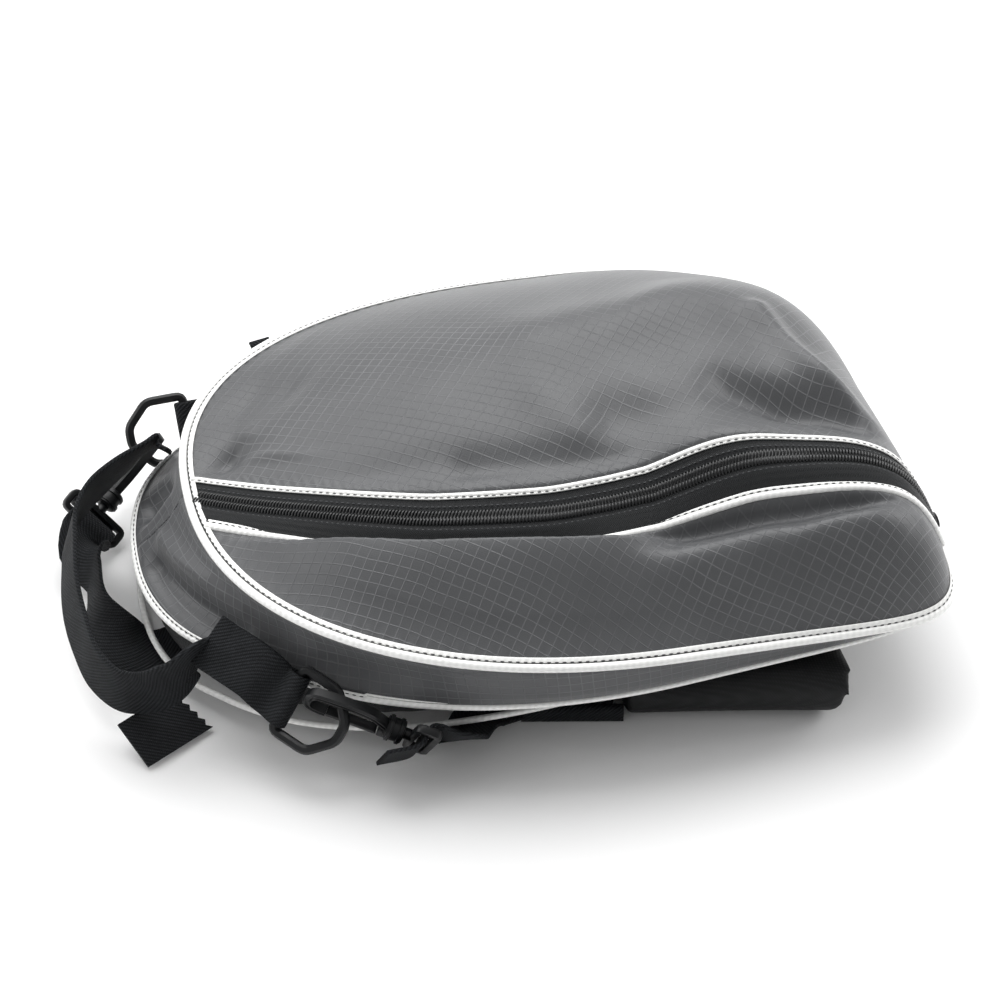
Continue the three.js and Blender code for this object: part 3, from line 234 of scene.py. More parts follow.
def relief(x, y):
    along = share_along(x)
    away = (y - zip_y(x)) / np.hypot(1, zip_slope(x))
    crest = LIP_REACH * blend_rows(LIP_ROWS, "along", along, "away")
    lip = LIP_HEIGHT * blend_rows(LIP_ROWS, "along", along, "lip")
    valley = LIP_HEIGHT * blend_rows(LIP_ROWS, "along", along, "valley")
    foot = COIL_WIDTH / 2 + TAPE_NEAR_WIDTH + ZIP_NEAR_BEAD_R
    climb = smooth((-away - foot) / (crest - foot))
    dip = smooth((-away - COIL_WIDTH / 2) / (foot - COIL_WIDTH / 2))
    past = np.maximum(-away - crest, 0) / LIP_SPREAD
    return lip * climb * bump(past) - valley * dip * (1 - climb) + fold_sum(FOLD_ROWS, x, y, DOME_HEIGHT)


def front_height(x, y):
    """Dome over the rim, gentle at the handle end and far side, plump at the wide end."""
    out = np.clip(outward_share(x, y), 0, 1)
    wide = np.clip(x / WIDE_REACH, 0, 1) / np.maximum(out, 0.001)
    near = np.clip(-y / (0.42 * NEAR_HALF), 0, 1)
    away = np.clip(y / (0.5 * FAR_HALF), 0, 1)
    fullness = 1.85 + 4 * wide ** (3 + 3 * away) + 3 * wide ** 1.5 * near
    crown = DOME_HEIGHT * blend_rows(DOME_ROWS, "along", share_along(x), "rise")
    cover = np.maximum(1 - out ** fullness, 0) ** (1 - 0.25 * wide)
    ease = np.clip((1 - out) / 0.12, 0, 1)
    return rim_height(x) + crown * cover + relief(x, y) * ease


def front_normal(x, y):
    step = 0.4
    pull = np.minimum(1, 0.997 / np.maximum(outward_share(x, y), 0.001))
    px = x * pull
    py = y * pull
    gx = (front_height(px + step, py) - front_height(px - step, py)) / (2 * step)
    gy = (front_height(px, py + step) - front_height(px, py - step)) / (2 * step)
    n = np.stack([-gx, -gy, np.ones_like(gx)], -1)
    return n / np.linalg.norm(n, axis=-1, keepdims=True)


def unit(v):
    return v / np.maximum(np.linalg.norm(v, axis=-1, keepdims=True), 1e-12)


def lengths_of(points):
    return np.concatenate([[0], np.cumsum(np.linalg.norm(np.diff(points, axis=0), axis=1))])


def distance_to(points, line):
    """Distance of points from a line through several points."""
    least = np.full(points.shape[:-1], np.inf)
    for a, b in zip(line[:-1], line[1:]):
        run = b - a
        t = np.clip(((points - a) * run).sum(-1) / (run @ run), 0, 1)
        least = np.minimum(least, np.linalg.norm(points - a - t[..., None] * run, axis=-1))
    return least


def spaced(points, count, closed=False):
    """Points at equal distances along a line."""
    line = np.vstack([points, points[:1]]) if closed else points
    run = lengths_of(line)
    at = np.linspace(0, run[-1], count + 1)[:-1] if closed else np.linspace(0, run[-1], count)
    return np.stack([np.interp(at, run, line[:, k]) for k in range(3)], -1)


def zip_line(away, margin):
    """Line on the front surface beside the zip, cut off where it nears the rim."""
    x = np.linspace(-HANDLE_REACH, WIDE_REACH, 1601)
    slope = zip_slope(x)
    size = np.hypot(1, slope)
    px = x - slope / size * away
    py = zip_y(x) + away / size
    out = outward_share(px, py)
    keep = out < 0.9995
    px, py, out = px[keep], py[keep], out[keep]
    points = np.stack([px, py, front_height(px, py)], -1)
    rim = np.stack([px / out, py / out, rim_height(px / out)], -1)
    return points[np.linalg.norm(points - rim, axis=1) > margin]


def tangents(points, closed=False):
    if closed:
        return unit(np.roll(points, -1, 0) - np.roll(points, 1, 0))
    ahead = np.vstack([points[1:], points[-1:]])
    behind = np.vstack([points[:1], points[:-1]])
    return unit(ahead - behind)


# Materials


def rgb(code):
    """sRGB hex to linear colour."""
    parts = [int(code[i:i + 2], 16) / 255 for i in (1, 3, 5)]
    return [c / 12.92 if c <= 0.04045 else ((c + 0.055) / 1.055) ** 2.4 for c in parts] + [1.0]


def node(tree, kind, sockets=None, **settings):
    """Adds a node: settings are its options, sockets maps an input to a value or to another node's output."""
    made = tree.nodes.new(kind)
    for key, value in settings.items():
        setattr(made, key, value)
    for key, value in (sockets or {}).items():
        if isinstance(value, bpy.types.NodeSocket):
            tree.links.new(value, made.inputs[key])
        else:
            made.inputs[key].default_value = value
    return made


def wave(tree, place, direction, pitch):
    """Ripple from 0 to 1 across the surface, one crest each pitch of millimetres along a direction."""
    turn = [2 * math.pi / pitch * d for d in direction] + [0]
    along = node(tree, "ShaderNodeVectorMath", {0: place, 1: turn}, operation="DOT_PRODUCT")
    rise = node(tree, "ShaderNodeMath", {0: along.outputs["Value"]}, operation="SINE")
    return node(tree, "ShaderNodeMath", {0: rise.outputs[0], 1: 0.5, 2: 0.5},
                operation="MULTIPLY_ADD").outputs[0]


def lines(tree, value, pitch, width):
    """1 on a thin line each pitch, 0 between."""
    fold = node(tree, "ShaderNodeMath", {0: value, 1: pitch / 2}, operation="PINGPONG")
    made = node(tree, "ShaderNodeMapRange", {0: fold.outputs[0], 1: 0.0, 2: width, 3: 1.0, 4: 0.0},
                interpolation_type="SMOOTHSTEP")
    return made.outputs[0]


def blank(name, roughness, **more):
    """Material with its shader's own sockets set; returns the material, its tree and shader."""
    material = bpy.data.materials.new(name)
    material.use_nodes = True
    tree = material.node_tree
    shader = tree.nodes["Principled BSDF"]
    shader.inputs["Roughness"].default_value = roughness
    for key, value in more.items():
        shader.inputs[key.replace("_", " ")].default_value = value
    return material, tree, shader


def two_tones(tree, shader, low, high, factor):
    mix = node(tree, "ShaderNodeMix", {0: factor, 6: rgb(low), 7: rgb(high)}, data_type="RGBA")
    tree.links.new(mix.outputs[2], shader.inputs["Base Color"])
    return mix


def raised(tree, shader, height, distance, strength=1.0):
    made = node(tree, "ShaderNodeBump", {"Height": height, "Distance": distance, "Strength": strength})
    tree.links.new(made.outputs["Normal"], shader.inputs["Normal"])


def mottled(tree, place, scale, detail=3.0):
    return node(tree, "ShaderNodeTexNoise",
                {"Vector": place, "Scale": scale, "Detail": detail}).outputs["Fac"]


def math_node(tree, operation, a, b):
    return node(tree, "ShaderNodeMath", {0: a, 1: b}, operation=operation).outputs[0]


def coated_ripstop(turn):
    """Polyester ripstop with a PU coating: thin raised squares of 5 mm, a soft broad sheen, faint cloudy tone."""
    material, tree, shader = blank(f"coated_ripstop_{turn}", 0.42, Sheen_Weight=0.12, Sheen_Roughness=0.4)
    uv = node(tree, "ShaderNodeUVMap", uv_map="UVMap").outputs["UV"]
    wander = node(tree, "ShaderNodeTexNoise", {"Vector": uv, "Scale": 0.03, "Detail": 1.0}).outputs["Color"]
    shift = node(tree, "ShaderNodeVectorMath", {0: wander, 1: (2.2, 2.2, 0)}, operation="MULTIPLY").outputs[0]
    eased = node(tree, "ShaderNodeVectorMath", {0: uv, 1: shift}, operation="ADD").outputs[0]
    turned = node(tree, "ShaderNodeMapping", {"Vector": eased, "Rotation": (0, 0, math.radians(turn))})
    axes = node(tree, "ShaderNodeSeparateXYZ", {0: turned.outputs[0]})
    # Ripstop thread each 5 mm, drawn 0.42 mm wide so that it shows
    warp = lines(tree, axes.outputs[0], 5.0, 0.42)
    weft = lines(tree, axes.outputs[1], 5.0, 0.42)
    grid = math_node(tree, "MAXIMUM", warp, weft)
    # Plain weave of 0.3 mm threads, drawn at 0.9 mm
    weave = math_node(tree, "MULTIPLY", wave(tree, turned.outputs[0], (1, 0), 0.9),
                      wave(tree, turned.outputs[0], (0, 1), 0.9))
    cloud = mottled(tree, uv, 0.035)
    worn = node(tree, "ShaderNodeMapRange",
                {0: mottled(tree, uv, 0.016), 1: 0.38, 2: 0.64, 3: 0.07, 4: 0.46}).outputs[0]
    factor = math_node(tree, "MULTIPLY", grid, worn)
    lift = math_node(tree, "MULTIPLY", cloud, 0.16)
    two_tones(tree, shader, "#47484a", "#7b7c7e", math_node(tree, "ADD", factor, lift))
    ridge = math_node(tree, "MULTIPLY_ADD", weave, 0.18)
    tree.links.new(grid, ridge.node.inputs[2])
    raised(tree, shader, ridge, 0.00011)
    return material


def coated_piping():
    """White PVC-coated piping: smooth, bright and glossy, with faint puckers where it is sewn."""
    material, tree, shader = blank("coated_piping_white", 0.28, Coat_Weight=0.3, Coat_Roughness=0.2)
    uv = node(tree, "ShaderNodeUVMap", uv_map="UVMap").outputs["UV"]
    pucker = wave(tree, uv, (1, 0.35), 3.0)
    two_tones(tree, shader, "#f3f3f1", "#fcfcfa", pucker)
    raised(tree, shader, math_node(tree, "ADD", pucker, mottled(tree, uv, 0.5)), 0.00012)
    return material


def webbing_nylon():
    """Black nylon webbing in a diagonal twill: dull ribs 1.45 mm apart with a fine cross thread and firm edges."""
    material, tree, shader = blank("webbing_nylon_black", 0.75, Specular_IOR_Level=0.16)
    uv = node(tree, "ShaderNodeUVMap", uv_map="UVMap").outputs["UV"]
    rib = wave(tree, uv, (0.66, 0.75), 1.45)
    yarn = wave(tree, uv, (-0.5, 0.87), 0.8)
    height = math_node(tree, "MULTIPLY", math_node(tree, "ADD", rib, 0.25), math_node(tree, "ADD", yarn, 0.6))
    tone = math_node(tree, "MULTIPLY", height, math_node(tree, "ADD", mottled(tree, uv, 0.09), 0.15))
    two_tones(tree, shader, "#08090a", "#303235", tone)
    raised(tree, shader, height, 0.00028)
    return material


def zip_tape():
    """Polyester zip tape: flat black cloth with a fine herringbone running along it."""
    material, tree, shader = blank("zip_tape_black", 0.5, Specular_IOR_Level=0.25)
    uv = node(tree, "ShaderNodeUVMap", uv_map="UVMap").outputs["UV"]
    axes = node(tree, "ShaderNodeSeparateXYZ", {0: uv})
    chevron = node(tree, "ShaderNodeMath", {0: axes.outputs[1], 1: 1.2}, operation="PINGPONG").outputs[0]
    slant = math_node(tree, "MULTIPLY", math_node(tree, "ADD", axes.outputs[0], chevron), 2 * math.pi / 0.8)
    rise = node(tree, "ShaderNodeMath", {0: slant}, operation="SINE").outputs[0]
    two_tones(tree, shader, "#101112", "#242628", math_node(tree, "ADD", rise, 0.4))
    raised(tree, shader, rise, 0.00008)
    return material


def coil_nylon():
    """Moulded nylon coil: dense black monofilament with a bright narrow gloss on each loop."""
    material, tree, shader = blank("coil_nylon_black", 0.3, Coat_Weight=0.2, Coat_Roughness=0.25)
    place = node(tree, "ShaderNodeTexCoord").outputs["Object"]
    two_tones(tree, shader, "#0c0d0e", "#1c1d1f", mottled(tree, place, 900.0))
    raised(tree, shader, mottled(tree, place, 1500.0), 0.00004)
    return material


def pack_nylon():
    """Plain-woven black pack cloth over foam: fine square weave, low sheen."""
    material, tree, shader = blank("pack_nylon_black", 0.55, Specular_IOR_Level=0.3)
    place = node(tree, "ShaderNodeTexCoord").outputs["Object"]
    millimetres = node(tree, "ShaderNodeVectorMath", {0: place, 1: (1000, 1000, 1000)},
                       operation="MULTIPLY").outputs[0]
    turned = node(tree, "ShaderNodeMapping", {"Vector": millimetres, "Rotation": (0.5, 0.6, 0.4)}).outputs[0]
    weave = math_node(tree, "MULTIPLY", wave(tree, turned, (1, 0), 1.0), wave(tree, turned, (0, 1), 1.0))
    tone = math_node(tree, "MULTIPLY", weave, math_node(tree, "ADD", mottled(tree, place, 30.0), 0.2))
    two_tones(tree, shader, "#0e0f10", "#27292b", tone)
    raised(tree, shader, math_node(tree, "ADD", weave, mottled(tree, place, 60.0)), 0.0001)
    return material


def spacer_mesh():
    """Black spacer mesh: a knitted face with a hole each 2.6 mm, dull, with painted shade darker down in the
    holes.
    """
    material, tree, shader = blank("spacer_mesh_black", 0.82, Specular_IOR_Level=0.2)
    uv = node(tree, "ShaderNodeUVMap", uv_map="UVMap").outputs["UV"]
    total = math_node(tree, "ADD", wave(tree, uv, (1, 0), 2.6), wave(tree, uv, (0.5, 0.866), 2.6))
    total = math_node(tree, "ADD", total, wave(tree, uv, (-0.5, 0.866), 2.6))
    hole = node(tree, "ShaderNodeMapRange", {0: total, 1: 1.7, 2: 2.3, 3: 1.0, 4: 0.0},
                interpolation_type="SMOOTHSTEP").outputs[0]
    # Painted shade: the holes get the darker tone
    two_tones(tree, shader, "#050506", "#2a2c2e", hole)
    raised(tree, shader, hole, 0.0006)
    return material


def moulded_acetal():
    """Black acetal, injection moulded: even satin surface with a faint grain and slightly scuffed faces."""
    material, tree, shader = blank("moulded_acetal_black", 0.36, Specular_IOR_Level=0.35)
    place = node(tree, "ShaderNodeTexCoord").outputs["Object"]
    scuff = mottled(tree, place, 140.0, 5.0)
    two_tones(tree, shader, "#0b0c0d", "#191a1c", scuff)
    rough = node(tree, "ShaderNodeMapRange", {0: scuff, 1: 0.3, 2: 0.7, 3: 0.28, 4: 0.46}).outputs[0]
    tree.links.new(rough, shader.inputs["Roughness"])
    raised(tree, shader, mottled(tree, place, 1200.0), 0.00003)
    return material


def sewing_thread(name, low, high):
    """Bonded polyester thread: round, slightly glossy, tone changing from stitch to stitch."""
    material, tree, shader = blank(name, 0.5, Sheen_Weight=0.1)
    place = node(tree, "ShaderNodeTexCoord").outputs["Object"]
    two_tones(tree, shader, low, high, mottled(tree, place, 300.0))
    raised(tree, shader, mottled(tree, place, 2500.0), 0.00003)
    return material


RIPSTOP_FRONT = coated_ripstop(40)
RIPSTOP_SIDE = coated_ripstop(6)
PIPING = coated_piping()
WEBBING_NYLON = webbing_nylon()
ZIP_TAPE = zip_tape()
COIL_NYLON = coil_nylon()
PACK_NYLON = pack_nylon()
SPACER_MESH = spacer_mesh()
ACETAL = moulded_acetal()
BLACK_THREAD = sewing_thread("thread_black", "#1b1c1e", "#3c3e41")
# Lighter thread for the zip tapes' stitches: its grey is a painted highlight on black thread
THREAD_PAINTED_HIGHLIGHT = sewing_thread("thread_painted_highlight", "#2b2c2e", "#5a5c5f")


# Meshes


def place_in_frame(points):
    return (np.asarray(points, float) + BAG_ZERO) * MM


def mesh_object(name, points, faces, uvs, finish):
    """Mesh from points in millimetres; uvs gives one pair for each corner of each face."""
    mesh = bpy.data.meshes.new(name)
    mesh.from_pydata(place_in_frame(points).tolist(), [], [tuple(int(v) for v in f) for f in faces])
    layer = mesh.uv_layers.new(name="UVMap")
    layer.data.foreach_set("uv", np.concatenate([np.asarray(u, np.float32).ravel() for u in uvs]))
    mesh.materials.append(finish)
    mesh.polygons.foreach_set("use_smooth", [True] * len(mesh.polygons))
    made = bpy.data.objects.new(name, mesh)
    bpy.context.scene.collection.objects.link(made)
    return made


def skin(points, uv, wrap_rows=False, wrap_columns=False, cap=False):
    """Faces and corner uvs over a grid of points; uv has one more row or column where the grid wraps."""
    rows, columns = points.shape[:2]
    faces = []
    corners = []
    for i in range(rows if wrap_rows else rows - 1):
        for j in range(columns if wrap_columns else columns - 1):
            i2 = (i + 1) % rows
            j2 = (j + 1) % columns
            faces.append((i * columns + j, i * columns + j2, i2 * columns + j2, i2 * columns + j))
            corners.append([uv[i, j], uv[i, j + 1], uv[i + 1, j + 1], uv[i + 1, j]])
    if cap:
        faces.append(tuple(range(columns))[::-1])
        corners.append(uv[0, :columns][::-1])
        faces.append(tuple((rows - 1) * columns + j for j in range(columns)))
        corners.append(uv[rows - 1, :columns])
    return faces, corners


def face_outwards(made):
    """Turns a closed mesh's faces outwards."""
    shape = bmesh.new()
    shape.from_mesh(made.data)
    bmesh.ops.recalc_face_normals(shape, faces=shape.faces)
    if shape.calc_volume(signed=True) < 0:
        bmesh.ops.reverse_faces(shape, faces=shape.faces)
    shape.to_mesh(made.data)
    shape.free()
    return made


def swept(name, centres, across, section, finish, closed=False):
    """Section carried along a path, as a closed body; uv is millimetres along and round it."""
    run = tangents(centres, closed)
    side = unit(across - (across * run).sum(-1, keepdims=True) * run)
    up = np.cross(run, side)
    section = np.asarray(section, float)
    if section.ndim == 2:
        section = np.repeat(section[None], len(centres), 0)
    points = centres[:, None] + side[:, None] * section[..., :1] + up[:, None] * section[..., 1:]
    path = np.vstack([centres, centres[:1]]) if closed else centres
    along = lengths_of(path)
    loop = np.vstack([section[0], section[0][:1]])
    around = lengths_of(loop)
    uv = np.stack(np.meshgrid(along, around, indexing="ij"), -1)
    faces, corners = skin(points, uv, closed, True, cap=not closed)
    return face_outwards(mesh_object(name, points.reshape(-1, 3), faces, corners, finish))


def round_section(radius, sides, squash=1.0):
    a = 2 * np.pi * np.arange(sides) / sides
    return np.stack([radius * np.cos(a), radius * squash * np.sin(a)], -1)


def bar_section(width, thick, corner, flats=8, arcs=4):
    """Flat bar with rounded corners, walked once round."""
    w = width / 2 - corner
    t = thick / 2 - corner
    out = []
    for k, (cx, cy) in enumerate([(w, t), (-w, t), (-w, -t), (w, -t)]):
        for a in np.linspace(0, np.pi / 2, arcs):
            out.append((cx + corner * math.cos(a + k * np.pi / 2), cy + corner * math.sin(a + k * np.pi / 2)))
        if k % 2 == 0:
            sign = 1 if k == 0 else -1
            for s in np.linspace(1, -1, flats + 2)[1:-1]:
                out.append((sign * s * w, sign * (t + corner)))
    return np.array(out)


def catmull(knots, t):
    """Centripetal curve through knots at t from 0 to 1."""
    knots = np.asarray(knots, float)
    n = len(knots)
    first = 2 * knots[0] - knots[1]
    last = 2 * knots[-1] - knots[-2]
    padded = np.vstack([first, knots, last])
    out = []
    for value in np.atleast_1d(t):
        place = value * (n - 1)
        i = min(int(place), n - 2)
        w = place - i
        p = padded[i:i + 4]
        d = [max(np.linalg.norm(p[k + 1] - p[k]) ** 0.5, 1e-4) for k in range(3)]
        t1 = ((p[1] - p[0]) / d[0] - (p[2] - p[0]) / (d[0] + d[1]) + (p[2] - p[1]) / d[1]) * d[1]
        t2 = ((p[2] - p[1]) / d[1] - (p[3] - p[1]) / (d[1] + d[2]) + (p[3] - p[2]) / d[2]) * d[1]
        a = 2 * w ** 3 - 3 * w ** 2 + 1
        b = w ** 3 - 2 * w ** 2 + w
        c = -2 * w ** 3 + 3 * w ** 2
        e = w ** 3 - w ** 2
        out.append(a * p[1] + b * t1 + c * p[2] + e * t2)
    return np.array(out)


def settle(made, body="bag", stands_for=()):
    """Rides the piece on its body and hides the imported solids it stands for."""
    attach(made, body)
    if stands_for:
        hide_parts(*stands_for)
    return made


def joined(name, parts):
    """One object from several."""
    bpy.ops.object.select_all(action="DESELECT")
    for part in parts:
        part.select_set(True)
    bpy.context.view_layer.objects.active = parts[0]
    bpy.ops.object.join()
    parts[0].name = name
    parts[0].data.name = name
    return parts[0]


def apply_modifiers(made):
    bpy.context.view_layer.update()
    baked = bpy.data.meshes.new_from_object(made.evaluated_get(bpy.context.evaluated_depsgraph_get()))
    made.modifiers.clear()
    made.data = baked
    return made


# Repeats along a line


def repeat_tree(name, shape, finish):
    """Node tree that sets one small shape at each pitch along the line, its z towards the line's own up."""
    tree = bpy.data.node_groups.new(name, "GeometryNodeTree")
    tree.interface.new_socket("Line", in_out="INPUT", socket_type="NodeSocketGeometry")
    for socket in ("Pitch", "Length", "Width", "Rise", "Slant"):
        tree.interface.new_socket(socket, in_out="INPUT", socket_type="NodeSocketFloat")
    tree.interface.new_socket("Pieces", in_out="OUTPUT", socket_type="NodeSocketGeometry")
    given = node(tree, "NodeGroupInput").outputs
    curve = node(tree, "GeometryNodeMeshToCurve", {0: given["Line"]}).outputs[0]
    spots = node(tree, "GeometryNodeCurveToPoints", {"Curve": curve, "Length": given["Pitch"]}, mode="LENGTH")
    up = node(tree, "GeometryNodeInputNamedAttribute", {"Name": "up"},
              data_type="FLOAT_VECTOR").outputs["Attribute"]
    run = node(tree, "FunctionNodeAlignRotationToVector", {"Vector": spots.outputs["Tangent"]}, axis="X")
    turn = node(tree, "FunctionNodeAlignRotationToVector", {"Rotation": run.outputs[0], "Vector": up},
                axis="Z", pivot_axis="X")
    if shape == "stitch":
        body = node(tree, "GeometryNodeMeshUVSphere",
                    {"Segments": 6, "Rings": 4, "Radius": 0.5}).outputs["Mesh"]
        size = node(tree, "ShaderNodeCombineXYZ",
                    {0: given["Length"], 1: given["Width"], 2: given["Rise"]}).outputs[0]
        body = node(tree, "GeometryNodeTransform", {"Geometry": body, "Scale": size}).outputs[0]
    else:
        # Loop of the coil: an arch from the tape over to the middle, leaning along the zip
        half = node(tree, "ShaderNodeMath", {0: given["Width"], 1: 0.5}, operation="MULTIPLY").outputs[0]
        back = node(tree, "ShaderNodeMath", {0: half, 1: -1.0}, operation="MULTIPLY").outputs[0]
        lean = node(tree, "ShaderNodeMath", {0: given["Slant"], 1: -1.0}, operation="MULTIPLY").outputs[0]
        start = node(tree, "ShaderNodeCombineXYZ", {0: lean, 1: back}).outputs[0]
        end = node(tree, "ShaderNodeCombineXYZ", {0: given["Slant"], 1: half}).outputs[0]
        crown = node(tree, "ShaderNodeMath", {0: given["Rise"], 1: 2.0}, operation="MULTIPLY").outputs[0]
        middle = node(tree, "ShaderNodeCombineXYZ", {2: crown}).outputs[0]
        arch = node(tree, "GeometryNodeCurveQuadraticBezier",
                    {"Resolution": 5, "Start": start, "Middle": middle, "End": end}).outputs[0]
        ring = node(tree, "GeometryNodeCurvePrimitiveCircle",
                    {"Resolution": 6, "Radius": given["Length"]}).outputs[0]
        body = node(tree, "GeometryNodeCurveToMesh",
                    {"Curve": arch, "Profile Curve": ring, "Fill Caps": True}).outputs[0]
    rows = node(tree, "GeometryNodeInstanceOnPoints",
                {"Points": spots.outputs["Points"], "Instance": body, "Rotation": turn.outputs[0]}).outputs[0]
    real = node(tree, "GeometryNodeRealizeInstances", {0: rows}).outputs[0]
    smooth_faces = node(tree, "GeometryNodeSetShadeSmooth", {"Geometry": real}).outputs[0]
    done = node(tree, "GeometryNodeSetMaterial", {"Geometry": smooth_faces, "Material": finish}).outputs[0]
    node(tree, "NodeGroupOutput", {"Pieces": done})
    return tree


def repeat_along(name, points, ups, tree, pitch, length, width, rise, slant=0.0):
    """Bakes a row of small shapes along a line given in millimetres."""
    mesh = bpy.data.meshes.new(name)
    count = len(points)
    mesh.from_pydata(place_in_frame(points).tolist(), [(k, k + 1) for k in range(count - 1)], [])
    held = mesh.attributes.new("up", "FLOAT_VECTOR", "POINT")
    held.data.foreach_set("vector", np.asarray(ups, np.float32).ravel())
    made = bpy.data.objects.new(name, mesh)
    bpy.context.scene.collection.objects.link(made)
    modifier = made.modifiers.new("row", "NODES")
    modifier.node_group = tree
    sizes = {"Pitch": pitch, "Length": length, "Width": width, "Rise": rise, "Slant": slant}
    for item in tree.interface.items_tree:
        if item.item_type == "SOCKET" and item.in_out == "INPUT" and item.name in sizes:
            modifier[item.identifier] = float(sizes[item.name] * MM)
    made.data = bpy.data.meshes.new_from_object(made.evaluated_get(bpy.context.evaluated_depsgraph_get()))
    made.modifiers.clear()
    return made


STITCH_TREE = {}


def stitches(name, points, ups, finish, pitch=3.3, length=2.0, width=0.6, rise=0.5):
    """Row of sewing stitches lying on a line."""
    key = finish.name
    if key not in STITCH_TREE:
        STITCH_TREE[key] = repeat_tree(f"stitches_{key}", "stitch", finish)
    return repeat_along(name, points, ups, STITCH_TREE[key], pitch, length, width, rise)


# Front cloths
FAR_BEAD_AT = COIL_WIDTH / 2 + ZIP_GAP + TAPE_FAR_WIDTH + ZIP_GAP + ZIP_FAR_BEAD_R
NEAR_BEAD_AT = COIL_WIDTH / 2 + ZIP_GAP + TAPE_NEAR_WIDTH + ZIP_GAP + ZIP_NEAR_BEAD_R
CLOTH = 1.0
PUCKER_PITCH = 7.0
PUCKER_RISE = 0.22
SINK = {"depth": 7.5, "crest": 3.4}

RIM_ANGLES = np.linspace(0, 2 * np.pi, 5760, endpoint=False)
RIM_LOOP = rim_points(RIM_ANGLES)


def front_points(x, y):
    return np.stack([x, y, front_height(x, y)], -1)


def front_edge(rim, distance):
    """Places of the front surface at a distance inside points of the rim."""
    low = np.full(len(rim), 0.6)
    high = np.ones(len(rim))
    for _ in range(36):
        share = (low + high) / 2
        p = front_points(rim[:, 0] * share, rim[:, 1] * share)
        outside = np.linalg.norm(p - rim, axis=1) > distance
        low = np.where(outside, share, low)
        high = np.where(outside, high, share)
    return rim[:, :2] * low[:, None]


def angle_where(end, shift):
    """Rim angle beside a point, moved along the rim by shift."""
    k = int(np.argmin(np.hypot(RIM_LOOP[:, 0] - end[0], RIM_LOOP[:, 1] - end[1])))
    step = 1 if shift > 0 else -1
    travelled = 0.0
    while travelled < abs(shift):
        following = (k + step) % len(RIM_LOOP)
        travelled += np.linalg.norm(RIM_LOOP[k] - RIM_LOOP[following])
        k = following
    return RIM_ANGLES[k]


def front_cloth(name, away, crowding, rows, columns, node_name):
    """Cloth between the zip's piping and the rim's piping, its edges tucked under both."""
    line = zip_line(away, 2.6)
    far = away > 0
    start = angle_where(line[0], -3 if far else 3)
    end = angle_where(line[-1], 3 if far else -3) - (2 * math.pi if far else 0)
    zip_edge = spaced(line, rows)
    arc = spaced(rim_points(np.linspace(start, end, 1200)), rows)
    rim_edge = front_edge(arc, 1.6)
    share = 1 - (1 - np.linspace(0, 1, columns)) ** crowding
    x = zip_edge[:, :1] + (rim_edge[:, :1] - zip_edge[:, :1]) * share
    y = zip_edge[:, 1:2] + (rim_edge[:, 1:] - zip_edge[:, 1:2]) * share
    flat = front_points(x, y)
    across = np.concatenate([np.zeros((rows, 1)),
                             np.cumsum(np.linalg.norm(np.diff(flat, axis=1), axis=2), 1)], 1)
    rest = across[:, -1:] - across
    edge = np.minimum(across, rest)
    creased = fold_sum(CREASE_ROWS, x, y, 1.0)
    for _, fold_line, width, rise in FRONT_FOLDS:
        creased = creased + rise * bump(distance_to(np.stack([x, y], -1), np.array(fold_line, float)) / width)
    height = flat[..., 2] + creased * smooth(edge / 12)
    if not far:
        # Slack cloth sinking below the zip's piping at the wide half, with a soft crest beyond it
        off = (zip_y(x) - y) / np.hypot(1, zip_slope(x))
        wide = smooth((share_along(x) - 0.52) / 0.12) * smooth((0.95 - share_along(x)) / 0.1)
        height += wide * (SINK["crest"] * bump((off - 36) / 8) - SINK["depth"] * bump((off - 22) / 6)) * smooth(edge / 4)
    along = lengths_of(arc)[:, None]
    pucker = np.sin(2 * np.pi * along / PUCKER_PITCH + 1.7 * np.sin(along / 23.0))
    height += PUCKER_RISE * pucker * bump((edge - 3.5) / 4)
    points = np.stack([x, y, height], -1)
    reach = rim_edge - zip_edge[:, :2]
    uv = zip_edge[:, None, :2] + unit(reach)[:, None] * across[..., None]
    faces, corners = skin(points, uv)
    made = mesh_object(name, points.reshape(-1, 3), faces, corners, RIPSTOP_FRONT)
    shape = bmesh.new()
    shape.from_mesh(made.data)
    bmesh.ops.recalc_face_normals(shape, faces=shape.faces)
    shape.faces.ensure_lookup_table()
    if sum(f.normal.z for f in shape.faces) < 0:
        bmesh.ops.reverse_faces(shape, faces=shape.faces)
    shape.to_mesh(made.data)
    shape.free()
    thick = made.modifiers.new("cloth", "SOLIDIFY")
    thick.thickness = CLOTH * MM
    thick.offset = -1
    apply_modifiers(made)
    return settle(made, stands_for=(node_name,))


front_cloth("far_cloth", FAR_BEAD_AT + 0.9, 1.7, 260, 110, "front_panel_far")
front_cloth("near_cloth", -NEAR_BEAD_AT - 1.3, 1.25, 260, 70, "front_panel_near")


# Rim, side wall and back seam
RIM_COUNT = 900
rim = spaced(RIM_LOOP, RIM_COUNT, True)


def plan_outward(points):
    run = np.roll(points, -1, 0) - np.roll(points, 1, 0)
    return unit(np.stack([run[:, 1], -run[:, 0], np.zeros(len(run))], -1))


rim_out = plan_outward(rim)
headings = rim[:, 0] / np.where(rim[:, 0] > 0, WIDE_REACH, HANDLE_REACH)


def side_value(column):
    return blend_rows(SIDE_ROWS, "heading", headings, column)


flare = SIDE_FLARE * np.where(rim[:, 1] > 0, side_value("farFlare"), side_value("flare"))
seam = rim + rim_out * flare[:, None]
seam[:, 2] = side_value("seam")

